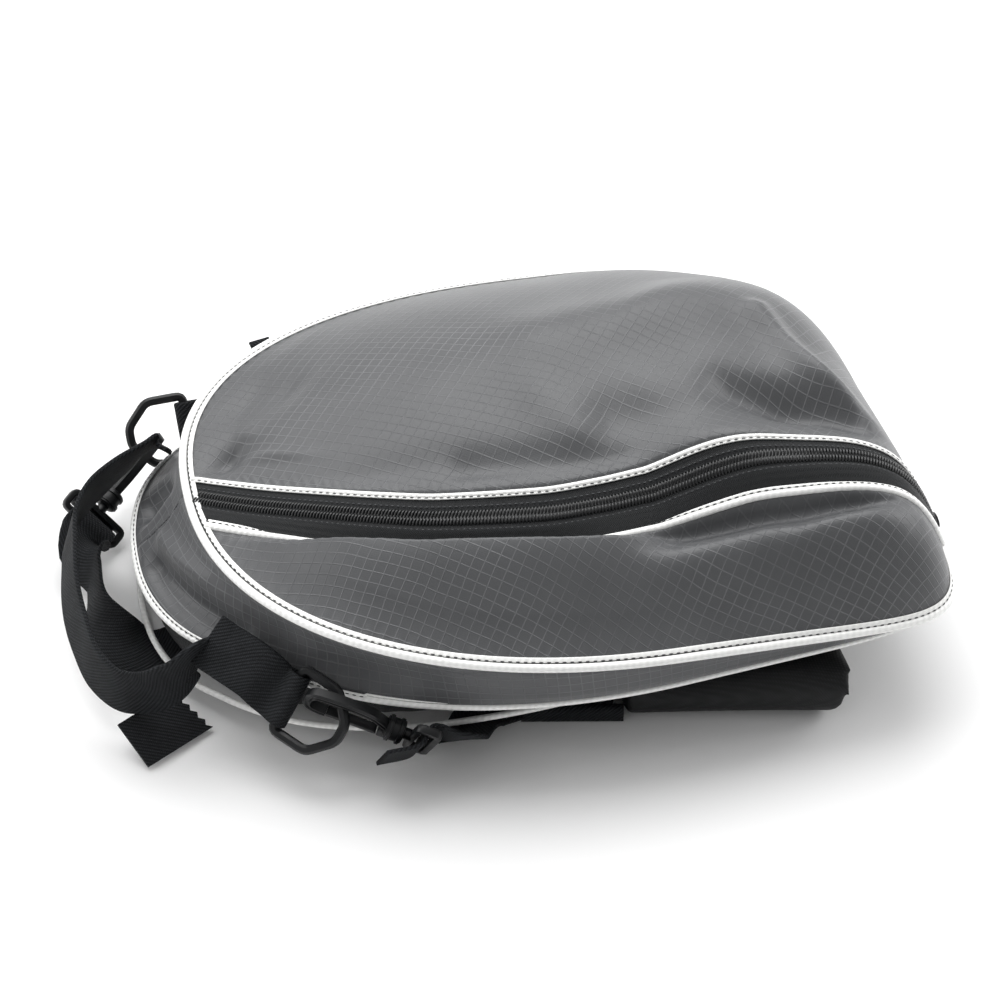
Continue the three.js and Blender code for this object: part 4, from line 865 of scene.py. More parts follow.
# Folds of the side wall: line through points of the wall, width, rise, both in millimetres
SIDE_FOLDS = [
    ("hollow beside the handle", [(-207, 30, 54), (-211, 28, 46)], 8.0, -6.5),
    ("rim of that hollow", [(-205, 17, 58), (-213, 18, 42)], 4.0, 1.6),
    ("ridge below the lap", [(-210, -4, 55), (-203, -24, 58), (-193, -42, 60), (-181, -58, 57)], 5.0, 3.2),
    ("valley below that ridge", [(-212, -12, 44), (-206, -30, 46), (-197, -48, 47), (-186, -66, 45)], 7.0,
     -5.5),
    ("near side ripple", [(-150, -104, 55), (-110, -128, 51)], 7.0, -0.9),
    ("near side swell", [(-70, -142, 50), (0, -146, 46)], 9.0, 0.7),
    ("far side hollow", [(-188, 66, 52), (-180, 78, 46)], 7.0, -1.6),
    ("wide end hollow", [(128, -60, 46), (130, 10, 46)], 9.0, -1.2),
]
# Lapped joint of the side wall at the handle end: from its upper to its lower end, its step
LAP_LINE = np.array([(-197.0, 3.0, 66.5), (-215.6, 7.6, 42.4)])
LAP_STEP = 1.8
LAP_FADE = 16.0


def side_wall(levels):
    down = unit(seam - rim)
    start = rim + down * 1.2
    end = seam - down * 0.9
    run = unit(np.roll(rim, -1, 0) - np.roll(rim, 1, 0))
    out = unit(np.cross(run, down))
    out *= np.sign((out * rim_out).sum(-1, keepdims=True))
    share = np.linspace(0, 1, levels)[None, :, None]
    sag = SIDE_FLARE * side_value("sag")
    bare = start[:, None] + (end - start)[:, None] * share
    edge = np.sin(np.pi * share[..., 0])
    rise = sag[:, None] * edge
    for _, line, width, height in SIDE_FOLDS:
        rise = rise + height * bump(distance_to(bare, np.array(line, float)) / width) * smooth(edge * 2.2)
    # A narrow roll of cloth under the rim's piping
    drop = np.linalg.norm(bare - rim[:, None], axis=-1)
    rise += 0.7 * bump((drop - 4.2) / 1.9)
    side = np.cross(LAP_LINE[1] - LAP_LINE[0], np.array([-1.0, 0, 0]))
    off = ((bare - LAP_LINE[0]) * unit(side)).sum(-1)
    near_lap = (bare[..., 0] < -150) & (distance_to(bare, LAP_LINE) < 3 * LAP_FADE)
    lapped = LAP_STEP * smooth(0.5 - off / 1.6) * np.exp(-np.maximum(-off,
        0) / LAP_FADE) - 0.9 * bump((off - 1.2) / 0.9)
    rise += np.where(near_lap, lapped * smooth(edge * 3), 0)
    points = bare + out[:, None] * rise[..., None]
    around = np.concatenate([[0], np.cumsum(np.linalg.norm(np.roll(rim, -1, 0) - rim, axis=1))])
    downward = np.concatenate([drop, drop[:1]])
    uv = np.stack([np.repeat(around[:, None], levels, 1), downward], -1)
    return points, out, uv


wall, wall_out, wall_uv = side_wall(44)
faces, corners = skin(wall, wall_uv, wrap_rows=True)
side_cloth = mesh_object("side_cloth", wall.reshape(-1, 3), faces, corners, RIPSTOP_SIDE)
shape = bmesh.new()
shape.from_mesh(side_cloth.data)
shape.faces.ensure_lookup_table()
if shape.faces[0].normal.dot(Vector(wall_out[0])) < 0:
    bmesh.ops.reverse_faces(shape, faces=shape.faces)
shape.to_mesh(side_cloth.data)
shape.free()
thick = side_cloth.modifiers.new("cloth", "SOLIDIFY")
thick.thickness = CLOTH * MM
thick.offset = -1
apply_modifiers(side_cloth)
settle(side_cloth, stands_for=("side_gusset",))

# Dark line of sewing along the lapped joint, also painted shade standing in for the shadow under the lap's step
lap_points = []
for level in range(3, wall.shape[1] - 3):
    ring_points = wall[:, level]
    gap = distance_to(ring_points, LAP_LINE) + np.where(ring_points[:, 0] < -150, 0, 1e3)
    best = int(np.argmin(gap))
    lap_points.append(ring_points[best] + wall_out[best] * 0.35)
lap_points = spaced(catmull(lap_points[::6], np.linspace(0, 1, 60)), 60)
lap_up = np.repeat([[-1.0, 0.0, 0.3]], 60, 0)
settle(stitches("lap_stitches_and_shade_line", lap_points, lap_up, BLACK_THREAD, 1.9, 1.9, 0.7, 0.5))


# Pipings
RIM_BEAD = {"radius": 1.9, "out": 0.5}
FLANGE = {"width": 2.4, "thick": 0.9, "from": 1.9}


def piping(name, line, out, inward, closed, bead, flange_width, node_name):
    """Round covered cord with the flange that is sewn down beside it, and the stitches between them."""
    run = tangents(line, closed)
    up = np.cross(inward, run)
    up *= np.sign(up[:, 2:3] + 1e-9)
    parts = [swept(f"{name}_cord", line + out * bead["out"], out, round_section(bead["radius"], 14),
                   PIPING, closed)]
    if flange_width:
        middle = line + inward * (bead["radius"] + flange_width / 2) + up * 0.5
        parts.append(swept(f"{name}_flange", middle, inward,
                           bar_section(flange_width, FLANGE["thick"], 0.4, 2, 3),
                           PIPING, closed))
    seat = line + inward * (bead["radius"] + 0.15) + up * 1.0
    if closed:
        seat = np.vstack([seat, seat[:1]])
        up = np.vstack([up, up[:1]])
    parts.append(stitches(f"{name}_stitches", seat, up, BLACK_THREAD))
    return settle(joined(name, parts), stands_for=(node_name,))


inner_edge = front_edge(rim, 3.0)
rim_in = unit(front_points(inner_edge[:, 0], inner_edge[:, 1]) - rim)
piping("rim_cord", rim, rim_out, rim_in, True, RIM_BEAD, FLANGE["width"], "rim_piping")
seam_up = unit(rim - seam)
piping("seam_cord", seam, rim_out, seam_up, True, {"radius": 1.45, "out": 0.2}, 1.1, "seam_piping")


def zip_path(away, margin, count, lift=0.0, cut=0.0):
    """Line beside the zip with its normals and the direction across it, towards the far side."""
    whole = zip_line(away, margin)
    gap = np.linalg.norm(whole - whole[-1], axis=1)
    line = spaced(whole[(gap > cut) | (whole[:, 0] < 0)], count)
    up = front_normal(line[:, 0], line[:, 1])
    side = unit(np.cross(up, tangents(line)))
    return line + up * lift, up, side


ZIP_COUNT = 300
far_line, far_up, far_side = zip_path(FAR_BEAD_AT, 2.9, ZIP_COUNT)
near_line, near_up, near_side = zip_path(-NEAR_BEAD_AT, 2.9, ZIP_COUNT)
piping("zip_cord_far", far_line, far_side, -far_side, False, {"radius": 1.25, "out": 0.0}, 0.9,
       "zip_piping_far")
piping("zip_cord_near", near_line, -near_side, near_side, False, {"radius": 1.75, "out": 0.0}, 1.6,
       "zip_piping_near")


# Zip: tapes, coil and slider
SLIDER = {"length": 11, "width": 8.4, "thick": 4.4, "soft": 2}
STITCH_AT = 6.4


def tape(name, start, end, crown, node_name):
    columns = 14
    lines_across = []
    for j in range(columns):
        share = j / (columns - 1)
        line = spaced(zip_line(start + (end - start) * share, 2.6), ZIP_COUNT)
        up = front_normal(line[:, 0], line[:, 1])
        ridge = crown * 4 * share * (1 - share) + 0.25 * bump((share - 0.3) / 0.09)
        lines_across.append(line + up * ridge)
    grid = np.stack(lines_across, 1)
    along = lengths_of(grid[:, 0])
    uv = np.stack(np.meshgrid(along, np.linspace(0, abs(end - start), columns), indexing="ij"), -1)
    faces, corners = skin(grid, uv)
    made = mesh_object(name, grid.reshape(-1, 3), faces, corners, ZIP_TAPE)
    if made.data.polygons[len(faces) // 2].normal.z < 0:
        made.data.flip_normals()
    thick = made.modifiers.new("cloth", "SOLIDIFY")
    thick.thickness = 0.9 * MM
    thick.offset = -1
    apply_modifiers(made)
    middle = start + (STITCH_AT - COIL_WIDTH / 2) * (1 if end > start else -1)
    line, up, _ = zip_path(middle, 3.0, ZIP_COUNT, 0.55)
    # Stitch rows in the lighter thread, whose tone is a painted highlight
    row = stitches(f"{name}_stitches", line, up, THREAD_PAINTED_HIGHLIGHT, 2.6, 1.5, 0.5, 0.4)
    return settle(joined(name, [made, row]), stands_for=(node_name,))


tape("far_tape", COIL_WIDTH / 2 - 1.2, FAR_BEAD_AT - 0.6, 0.0, "zip_tape_far")
tape("near_tape", -COIL_WIDTH / 2 + 1.2, -NEAR_BEAD_AT + 0.8, 0.8, "zip_tape_near")

coil_line, coil_up, coil_side = zip_path(0, 3.4, ZIP_COUNT, 0.0, SLIDER["length"] - 0.5)
coil_parts = [swept("coil_core", coil_line - coil_up * 0.35, coil_side, bar_section(6.2, 1.6, 0.5, 4, 3),
                    COIL_NYLON)]
coil_tree = repeat_tree("coil_loops", "coil", COIL_NYLON)
for index, sign in enumerate((-1, 1)):
    row_line = coil_line + coil_side * sign * 1.85 + coil_up * 0.15
    if index:
        row_line = row_line + tangents(row_line) * COIL_PITCH / 2
    coil_parts.append(repeat_along(f"coil_row_{index}", row_line, coil_up, coil_tree,
                                   COIL_PITCH, 0.52, 3.4, 1.1, 0.3))
settle(joined("zip_loops", coil_parts), stands_for=("zip_coil",))


def back_height(x):
    return BACK_HEIGHT_HANDLE + (BACK_HEIGHT_WIDE - BACK_HEIGHT_HANDLE) * (
        (x + HANDLE_REACH + BACK_LENGTH - BAG_LENGTH) / BACK_LENGTH)


# Slider: a soft-cornered body with a bridge over it
def placed(origin, along, across_hint):
    """Frame with its first axis along a direction and its second near a hint: origin and axes as rows."""
    x = unit(np.asarray(along, float))
    y = np.asarray(across_hint, float)
    y = unit(y - (y @ x) * x)
    return np.asarray(origin, float), np.stack([x, y, np.cross(x, y)])


def in_frame(frame_of, points):
    origin, axes = frame_of
    return np.asarray(points, float) @ axes + origin


def bar(name, points, across, section, finish, frame_of, closed=False, sharp=36):
    """Moulded bar: a section carried along a path given in a fitting's own frame."""
    centres = in_frame(frame_of, points)
    made = swept(name, centres, np.repeat([np.asarray(across, float) @ frame_of[1]], len(centres), 0),
                 section, finish, closed)
    made.data.set_sharp_from_angle(angle=math.radians(sharp))
    return made


def turned(name, rows, finish, frame_of, sides=32):
    """Turned body round the frame's first axis: rows of place along the axis and radius."""
    rows = np.array(rows, float)
    centres = np.column_stack([rows[:, 0], np.zeros((len(rows), 2))])
    ring = round_section(1.0, sides)
    return bar(name, centres, (0, 0, 1), rows[:, 1, None, None] * ring[None], finish, frame_of)


def block(name, length, width, thick, soft, finish, frame_of, middle=(0, 0, 0)):
    """Block with rounded ends and edges, its length along the frame's first axis."""
    a = np.linspace(0, np.pi / 2, 5)
    ends = np.concatenate([-length / 2 + soft * (1 - np.sin(a[::-1])), length / 2 - soft * (1 - np.sin(a))])
    inset = np.concatenate([soft * (1 - np.cos(a[::-1])), soft * (1 - np.cos(a))])
    rings = [bar_section(width - 2 * d, thick - 2 * d * min(1, thick / width), min(0.8, thick / 3), 2,
                         4) for d in inset]
    centres = np.column_stack([ends, np.zeros((len(ends), 2))]) + np.asarray(middle, float)
    return bar(name, centres, (0, 1, 0), np.array(rings), finish, frame_of)


slider_line = zip_line(0, RIM_BEAD_R + GAP + ZIP_GAP + 0.4 * COIL_WIDTH)
slider_end = slider_line[-1]
slider_start = slider_line[np.linalg.norm(slider_line - slider_end, axis=1) > SLIDER["length"]][-1]
slider_up = unit(front_normal(slider_end[0], slider_end[1]) + front_normal(slider_start[0], slider_start[1]))
slider_run = slider_end - slider_start
slider_at = placed((slider_end + slider_start) / 2, slider_run, np.cross(slider_up, slider_run))
bridge = [(-3.6, 0, 1.5), (-3.4, 0, 2.2), (-2.2, 0, 2.6), (0, 0, 2.7), (2.2, 0, 2.6), (3.4, 0, 2.2),
          (3.6, 0, 1.5)]
slider_parts = [
    block("slider_body", SLIDER["length"], SLIDER["width"], SLIDER["thick"] - 0.6, SLIDER["soft"], ACETAL,
          slider_at),
    bar("slider_bridge", catmull(bridge, np.linspace(0, 1, 24)), (0, 1, 0), bar_section(2.4, 1.1, 0.3, 1, 3),
        ACETAL, slider_at),
]
settle(joined("slider", slider_parts), stands_for=("zip_slider",))


# Padded back and shoulder pads
def stuffed(name, rings, voxel, cap, low, node_name, pressure=4.0):
    """Closed rings of points filled out by a pressure simulation, no point moving further than the cap."""
    count = rings.shape[1]
    rows = len(rings)
    points = np.vstack([rings.reshape(-1, 3), rings[:1].mean(1), rings[-1:].mean(1)])
    faces, _ = skin(rings, np.zeros((rows + 1, count + 1, 2)), wrap_columns=True)
    faces = faces + [(rows * count, (j + 1) % count, j) for j in range(count)]
    last = (rows - 1) * count
    faces = faces + [(rows * count + 1, last + j, last + (j + 1) % count) for j in range(count)]
    made = mesh_object(name, points, faces, [np.zeros((len(f), 2)) for f in faces], PACK_NYLON)
    face_outwards(made)
    even = made.modifiers.new("even", "REMESH")
    even.mode = "VOXEL"
    even.voxel_size = voxel * MM
    apply_modifiers(made)
    made.data.polygons.foreach_set("use_smooth", [True] * len(made.data.polygons))
    still = np.empty(len(made.data.vertices) * 3)
    made.data.vertices.foreach_get("co", still)
    still = still.reshape(-1, 3)
    cloth = made.modifiers.new("fill", "CLOTH")
    cloth.settings.use_pressure = True
    cloth.settings.uniform_pressure_force = pressure
    cloth.settings.effector_weights.gravity = 0
    cloth.settings.quality = 4
    cloth.point_cache.frame_start = 1
    cloth.point_cache.frame_end = 20
    for step in range(1, 21):
        bpy.context.scene.frame_set(step)
    apply_modifiers(made)
    bpy.context.scene.frame_set(1)
    moved = np.empty_like(still).ravel()
    made.data.vertices.foreach_get("co", moved)
    shift = moved.reshape(-1, 3) - still
    size = np.linalg.norm(shift, axis=1, keepdims=True)
    still = still + shift * np.minimum(1, cap * MM / np.maximum(size, 1e-9))
    bag = still / MM - BAG_ZERO
    bag[:, 2] = np.maximum(bag[:, 2], low(bag[:, 0]))
    made.data.vertices.foreach_set("co", place_in_frame(bag).ravel())
    even = made.modifiers.new("even", "SUBSURF")
    even.levels = 1
    even.render_levels = 1
    apply_modifiers(made)
    made.data.polygons.foreach_set("use_smooth", [True] * len(made.data.polygons))
    settle(made, stands_for=(node_name,))
    return made


tuck = SIDE_FLARE * side_value("tuck")


def back_ring(inset, share_of_tuck, height_of):
    ring = seam - rim_out * (inset + tuck * share_of_tuck)[:, None]
    ring[:, 2] = height_of(ring, seam)
    return ring


SEAT = BACK_BEAD_R + ZIP_GAP
TOP_DROP = SEAM_BEAD_R + GAP
SHRINK = 1.2
BACK_ROWS = [
    (30, 0, lambda q, p: p[:, 2] - TOP_DROP - 1.6),
    (PAD_BELLY_INSET, 0, lambda q, p: p[:, 2] - TOP_DROP - 1.0),
    (2.5, 0, lambda q, p: p[:, 2] - TOP_DROP - 0.6),
    (1.2 + SHRINK, 0.15, lambda q, p: p[:, 2] * 0.8 + back_height(q[:, 0]) * 0.2),
    (0.4 + SHRINK, 0.5, lambda q, p: (p[:, 2] + back_height(q[:, 0])) / 2 + 1),
    (1.6 + SHRINK, 0.8, lambda q, p: p[:, 2] * 0.25 + back_height(q[:, 0]) * 0.75 + 3),
    (1 + SEAT, 1, lambda q, p: back_height(q[:, 0]) + 3.4),
    (1 + SEAT + 3, 1, lambda q, p: back_height(q[:, 0]) + 1.6),
    (1 + SEAT + PAD_BELLY_INSET, 1, lambda q, p: back_height(q[:, 0]) + 1.2),
    (36, 1, lambda q, p: back_height(q[:, 0]) + 1.2),
]
thinned = slice(None, None, 5)
back_rings = np.stack([back_ring(inset, share, height)[thinned] for inset, share, height in BACK_ROWS])
stuffed("back_padding", back_rings, 4.5, 4.0, lambda x: back_height(x) + 0.2, "back_pad")

back_line = back_ring(1, 1, lambda q, p: back_height(q[:, 0]) + BACK_BEAD_R + 0.4)
back_cord = swept("back_cord", back_line, rim_out, round_section(1.5, 14), PIPING, True)
settle(back_cord, stands_for=("back_piping",))

PAD_FROM = -0.1036 * HANDLE_REACH
PAD_TO = 0.5457 * WIDE_REACH
PAD_ROWS = [("near", -1, 0.84 * NEAR_HALF, 0.25), ("far", 1, 0.812 * FAR_HALF, 0.1)]
MESH_FROM = -0.3367 * HANDLE_REACH
MESH_WIDTH = 42
MESH_THICK = 9
PAD_SLANT = 9
PAD_SWELL = 0.8


def pad_rings(away, edge, skew):
    """Two layers of a pad folded over at its outer edge."""
    turn = (PAD_LAYER + PAD_FOLD_GAP) / 2
    outer = edge - PAD_LAYER / 2 - turn
    inner = edge - PAD_WIDTH
    flat_top = [(y, 3 * turn) for y in np.linspace(inner + 1, outer, 7)]
    bend = [(outer + turn * math.cos(a), 2 * turn + turn * math.sin(a)) for a in np.linspace(1.57, -1.57,
                                                                                             11)[1:-1]]
    flat_low = [(y, turn) for y in np.linspace(outer, inner + 1, 7)]
    path = np.array(flat_top + bend + flat_low)
    run = np.gradient(path, axis=0)
    run /= np.linalg.norm(run, axis=1, keepdims=True)
    half = PAD_LAYER / 2 - PAD_SWELL
    high = 2 * PAD_LAYER + PAD_FOLD_GAP
    ring = bar_section(1.0, 2 * half, 0.0001, 9, 2)
    rounds = []
    for (y, z), (ry, rz) in zip(path, run):
        share = np.clip(ring[:, 0] + 0.5, 0, 1)
        off = ring[:, 1]
        level = z - PAD_FOLD_GAP / 2 + off * ry
        end = PAD_TO - 1 + PAD_SLANT * level / high
        x = PAD_FROM + 1 + (end - PAD_FROM - 1) * share
        squeeze = np.minimum((back_height(x) - 0.3) / high, 1.1)
        skewed = y - off * rz + skew * (x - PAD_FROM)
        rounds.append(np.stack([x, away * skewed, level * squeeze], -1))
    return np.array(rounds)


for side_name, away, edge, skew in PAD_ROWS:
    stuffed(f"pad_{side_name}", pad_rings(away, edge, skew), 2.6, 5.0, lambda x: 0 * x + 0.15,
            f"shoulder_pad_{side_name}")
    strap_x = np.linspace(MESH_FROM, PAD_FROM - GAP, 30)
    strap_y = away * (edge - PAD_WIDTH / 2 + skew * (strap_x - PAD_FROM))
    middle = np.stack([strap_x, strap_y, np.full(30, MESH_THICK / 2 + 0.15)], -1)
    level = np.repeat([[0.0, 1.0, 0.0]], 30, 0)
    lining = swept(f"lining_{side_name}", middle, level,
                   bar_section(MESH_WIDTH - 4, MESH_THICK - 1.2, 3.2, 8, 6), SPACER_MESH)
    edges = [swept(f"binding_{side_name}_{k}", middle + level * k * (MESH_WIDTH / 2 - 2.4), level,
                   bar_section(4.8, MESH_THICK - 0.2, 2.0, 2, 5), WEBBING_NYLON) for k in (-1, 1)]
    settle(joined(f"mesh_strap_{side_name}", [lining] + edges),
           stands_for=(f"strap_mesh_{side_name}",))


# Webbing
def place(x, y, z):
    """Place given as shares of the handle reach, the half width of its side and the rim height."""
    return np.array([x * HANDLE_REACH, y * (FAR_HALF if y > 0 else NEAR_HALF), z * RIM_HIGH])


WEB_SECTION = bar_section(WEBBING, WEBBING_THICK, 0.75, 10, 4)
HANDLE_SECTION = bar_section(WEBBING, HANDLE_THICK, 0.95, 10, 4)
# Handle webbing: place as shares, lean in degrees of its upper edge towards the path's left
HANDLE_ROWS = [
    (-1.0155, 0.4529, 0.6775, 38),
    (-1.05, 0.4838, 0.72, 36),
    (-1.095, 0.4355, 0.72, 30),
    (-1.16, 0.3709, 0.705, 20),
    (-1.228, 0.286, 0.675, 14),
    (-1.275, 0.1806, 0.635, 18),
    (-1.295, 0.0452, 0.58, 20),
    (-1.306, -0.098, 0.52, 20),
    (-1.3, -0.238, 0.46, 18),
    (-1.28, -0.378, 0.41, 12),
    (-1.233, -0.476, 0.378, 4),
    (-1.166, -0.52, 0.41, 0),
    (-1.105, -0.535, 0.52, -6),
    (-1.062, -0.52, 0.59, -12),
    (-1.0453, -0.5028, 0.56, -12),
]
HANDLE_STEPS = 240
handle_t = np.linspace(0, 1, HANDLE_STEPS)
handle_line = catmull([place(*row[:3]) for row in HANDLE_ROWS], handle_t)
handle_run = tangents(handle_line)
lean = np.radians(np.interp(handle_t, np.linspace(0, 1, len(HANDLE_ROWS)), [row[3] for row in HANDLE_ROWS]))
lean = np.convolve(np.pad(lean, 8, mode="edge"), np.ones(17) / 17, "valid")
left = unit(np.stack([-handle_run[:, 1], handle_run[:, 0], np.zeros(HANDLE_STEPS)], -1))
handle_across = np.array([0.0, 0, 1]) * np.cos(lean)[:, None] + left * np.sin(lean)[:, None]
# The sewn end turns into the wall with its width held level with the last open stretch
held_from = int(HANDLE_STEPS * 0.9)
handle_across[held_from:] = handle_across[held_from]
handle = swept("handle_webbing", handle_line, handle_across, HANDLE_SECTION, WEBBING_NYLON)
settle(handle, stands_for=("handle",))


def ribbon(name, knots, across, section, finish=None, per=9):
    """Webbing through knots with a direction of its width at each."""
    steps = (len(knots) - 1) * per + 1
    t = np.linspace(0, 1, steps)
    at = np.linspace(0, 1, len(knots))
    across = np.asarray(across, float)
    side = unit(np.stack([np.interp(t, at, across[:, k]) for k in range(3)], -1))
    return swept(name, catmull(knots, t), side, section, finish or WEBBING_NYLON)


# Cut end of the handle webbing, standing on one edge
TAIL = {"low": 1.41, "high": 1.19, "back": -0.03, "up": 0.93, "teeth": 5, "notch": 1.8, "lift": 1.4}
tail_at = placed(place(-1.2, -0.645, TAIL["lift"] / RIM_HIGH), (0.879, 0.476, 0), (-0.403, 0.744, 0.533))
up_share = np.linspace(0, 1, TAIL["teeth"] * 6 + 1)[:, None]
run_share = np.linspace(0, 1, 25)[None]
notch = TAIL["notch"] * (1 - np.abs((up_share * TAIL["teeth"]) % 1 * 2 - 1))
tail_start = TAIL["back"] * WEBBING * up_share
tail_end = WEBBING * (TAIL["low"] + (TAIL["high"] - TAIL["low"]) * up_share) - notch
tail_x = tail_start + (tail_end - tail_start) * run_share
tail_y = np.repeat(up_share * TAIL["up"] * WEBBING, 25, 1)
tail_z = 0.5 + 0.6 * np.sin(tail_x / 9.0) * (tail_y / WEBBING)
tail_grid = in_frame(tail_at, np.stack([tail_x, tail_y, tail_z], -1).reshape(-1,
                                                                             3)).reshape(tail_x.shape + (3,))
faces, corners = skin(tail_grid, np.stack([tail_x, tail_y], -1))
tail = mesh_object("tail_webbing", tail_grid.reshape(-1, 3), faces, corners, WEBBING_NYLON)
thick = tail.modifiers.new("webbing", "SOLIDIFY")
thick.thickness = 1.6 * MM
thick.offset = 0.6
apply_modifiers(tail)
face_outwards(tail)
tail.data.set_sharp_from_angle(angle=math.radians(50))
settle(tail, stands_for=("handle_tail",))

# Rings, hooks and straps on both sides of the handle end
RING_WIDTH = 35.4
RING_DEPTH = 32.5
RING_BAR = 4.4
HOOK_BAR = 4.8
HOOK_EYE = 19.8
HOOK_LENGTH = 38
BARREL_R = 5.2
BARREL_LENGTH = 8
GATE_THICK = 2.8
GATE_WIDTH = 4.4
LOOP_WIDTH = 34
LOOP_DEPTH = 12
LOOP_THICK = 4
LOOP_BAR = 3.2
RING_SEAT = 2.2
NOSE_END = 0.315
EYE_HALF = (HOOK_EYE - HOOK_BAR) / 2
GATE_PIVOT = HOOK_LENGTH - 4
GATE_START = NOSE_END * HOOK_LENGTH + GAP
RING_HALF = (RING_WIDTH - RING_BAR) / 2
RING_REACH = RING_DEPTH - RING_BAR
LOOP_START = HOOK_LENGTH + BARREL_LENGTH + GAP + 2.5

SIDES = [
    {
        "name": "near",
        "ring_base": place(-0.869, -0.7085, 0.512),
        "ring_bar": (0.58, 0.319, 0.749),
        "ring_run": (0.667, -0.715, -0.212),
        "ring_across": 0.65,
        "hook_run": (0.857, -0.359, -0.37),
        "hook_side": (0.186, -0.454, 0.871),
        "hook_reach": 17,
        "loop_side": (0.23, -0.565, 0.79),
        "tab": [place(-0.9737, -0.4985, 0.6555), place(-0.995, -0.53, 0.672), place(-0.927, -0.638, 0.628)],
        "tab_across": [(0.828, 0.249, 0.498), (0.828, 0.249, 0.498), (0.65, 0.3, 0.65)],
        "back": 14,
        "drop": -14,
        "strap": [place(-0.49, -0.83, 0.17), place(-0.43, -0.72, 0.09), place(-0.3644, -0.675, 0.065)],
        "strap_across": [(0.1, -0.8, 0.5), (0, -1, 0.2), (0.1, -1, 0)],
    },
    {
        "name": "far",
        "ring_base": place(-0.952, 0.6989, 0.484),
        "ring_bar": (-0.017, 0.573, 0.819),
        "ring_run": (-0.999, -0.043, 0.01),
        "ring_across": -0.65,
        "hook_run": (-0.7, -0.668, -0.247),
        "hook_side": (0.305, -0.594, 0.745),
        "hook_reach": 14,
        "loop_side": (0.72, -0.2, -0.66),
        "tab": [place(-0.915, 0.7042, 0.484)],
        "tab_across": [(-0.017, 0.573, 0.819)],
        "back": 7,
        "drop": 5,
        "strap": [
            place(-1.245, 0.1505, 0.24), place(-1.25, -0.03, 0.19), place(-1.2, -0.13, 0.1),
            place(-1.12, -0.15, 0.03), place(-0.98, -0.06, 0.018), place(-0.78, 0.1505, 0.018),
            place(-0.57, 0.4516, 0.018), place(-0.44, 0.6236, 0.035), place(-0.3578, 0.6666, 0.06),
        ],
        "strap_across": [
            (0.3, 0.1, 0.95), (0.4, 0.3, 0.85), (0.35, 0.75, 0.45), (-0.1, 0.98, 0.04), (-0.4, 0.9, 0),
            (-0.65, 0.75, 0), (-0.6, 0.8, 0), (-0.3, 1, 0), (-0.2, 1, 0),
        ],
    },
]

# Bow of the hook from the barrel round the eye to the nose: shares of the hook length and the eye's half
BOW_ROWS = [
    (1.05, 0), (0.92, 0.55), (0.765, 1), (0.208, 1), (0.105, 0.78), (0.063, 0.3), (0.063, -0.3),
    (0.105, -0.78), (0.208, -1), (NOSE_END, -1),
]
# Half of the bow's section: flat faces with a groove along the middle
GROOVED = np.array([(2.4, -1.4), (2.4, -0.95), (1.7, -0.55), (1.7, 0.55), (2.4, 0.95), (2.4, 1.4),
                    (1.5, 2.35)])
GROOVED = np.vstack([GROOVED, -GROOVED])


def rounded(corners, radius, steps=5):
    """Closed outline with each corner turned into a short curve."""
    corners = np.asarray(corners, float)
    out = []
    for i, corner in enumerate(corners):
        before = corner + unit(corners[i - 1] - corner) * radius
        after = corner + unit(corners[(i + 1) % len(corners)] - corner) * radius
        for t in np.linspace(0, 1, steps):
            out.append((1 - t) ** 2 * before + 2 * t * (1 - t) * corner + t * t * after)
    return np.array(out)


def ring_piece(side):
    shoulder = RING_REACH * (1 - 0.36)
    end = RING_HALF * (1 - 0.7)
    corners = [(0, -RING_HALF, 0), (shoulder, -RING_HALF, 0), (RING_REACH, -end, 0),
               (RING_REACH, end, 0), (shoulder, RING_HALF, 0), (0, RING_HALF, 0)]
    made = bar(f"ring_bar_{side['name']}", rounded(corners, 3.2), (0, 0, 1),
               bar_section(4.3, 4.2, 1.1, 1, 2), ACETAL,
               placed(side["ring_base"], side["ring_run"], side["ring_bar"]), closed=True, sharp=30)
    return settle(made, stands_for=(f"ring_{side['name']}",))


def tab_piece(side):
    base = side["ring_base"]
    run = unit(np.array(side["ring_run"]))
    along = unit(np.array(side["ring_bar"]))
    plate = np.cross(run, along)
    wrap = RING_BAR / 2 + 2 * GAP + WEBBING_THICK / 2
    spread = WEBBING_THICK / 2 + GAP
    middle = side["tab"] + [base - run * 2 * wrap]
    across = [np.array(a, float) for a in side["tab_across"]] + [along]

    def layer(sign):
        out = []
        for i, point in enumerate(middle):
            start = middle[max(i - 1, 0)]
            stop = middle[i + 1] if i < len(middle) - 1 else base
            out.append(point + unit(np.cross(stop - start, across[i])) * sign * spread)
        return out

    bend = [base + run * wrap * math.cos(a) + plate * wrap * math.sin(a) for a in np.radians([90, 45, 0,
                                                                                              -45, -90])]
    knots = layer(1) + bend + layer(-1)[::-1]
    widths = across + [along] * 5 + across[::-1]
    if len(middle) > 2:
        # Both layers start inside the wall, in line with the open stretch
        knots[0] = knots[1] * 1.35 - knots[2] * 0.35
        knots[-1] = knots[-2] * 1.35 - knots[-3] * 0.35
    made = ribbon(f"tab_webbing_{side['name']}", knots, widths, WEB_SECTION)
    return settle(made, stands_for=(f"ring_tab_{side['name']}",))


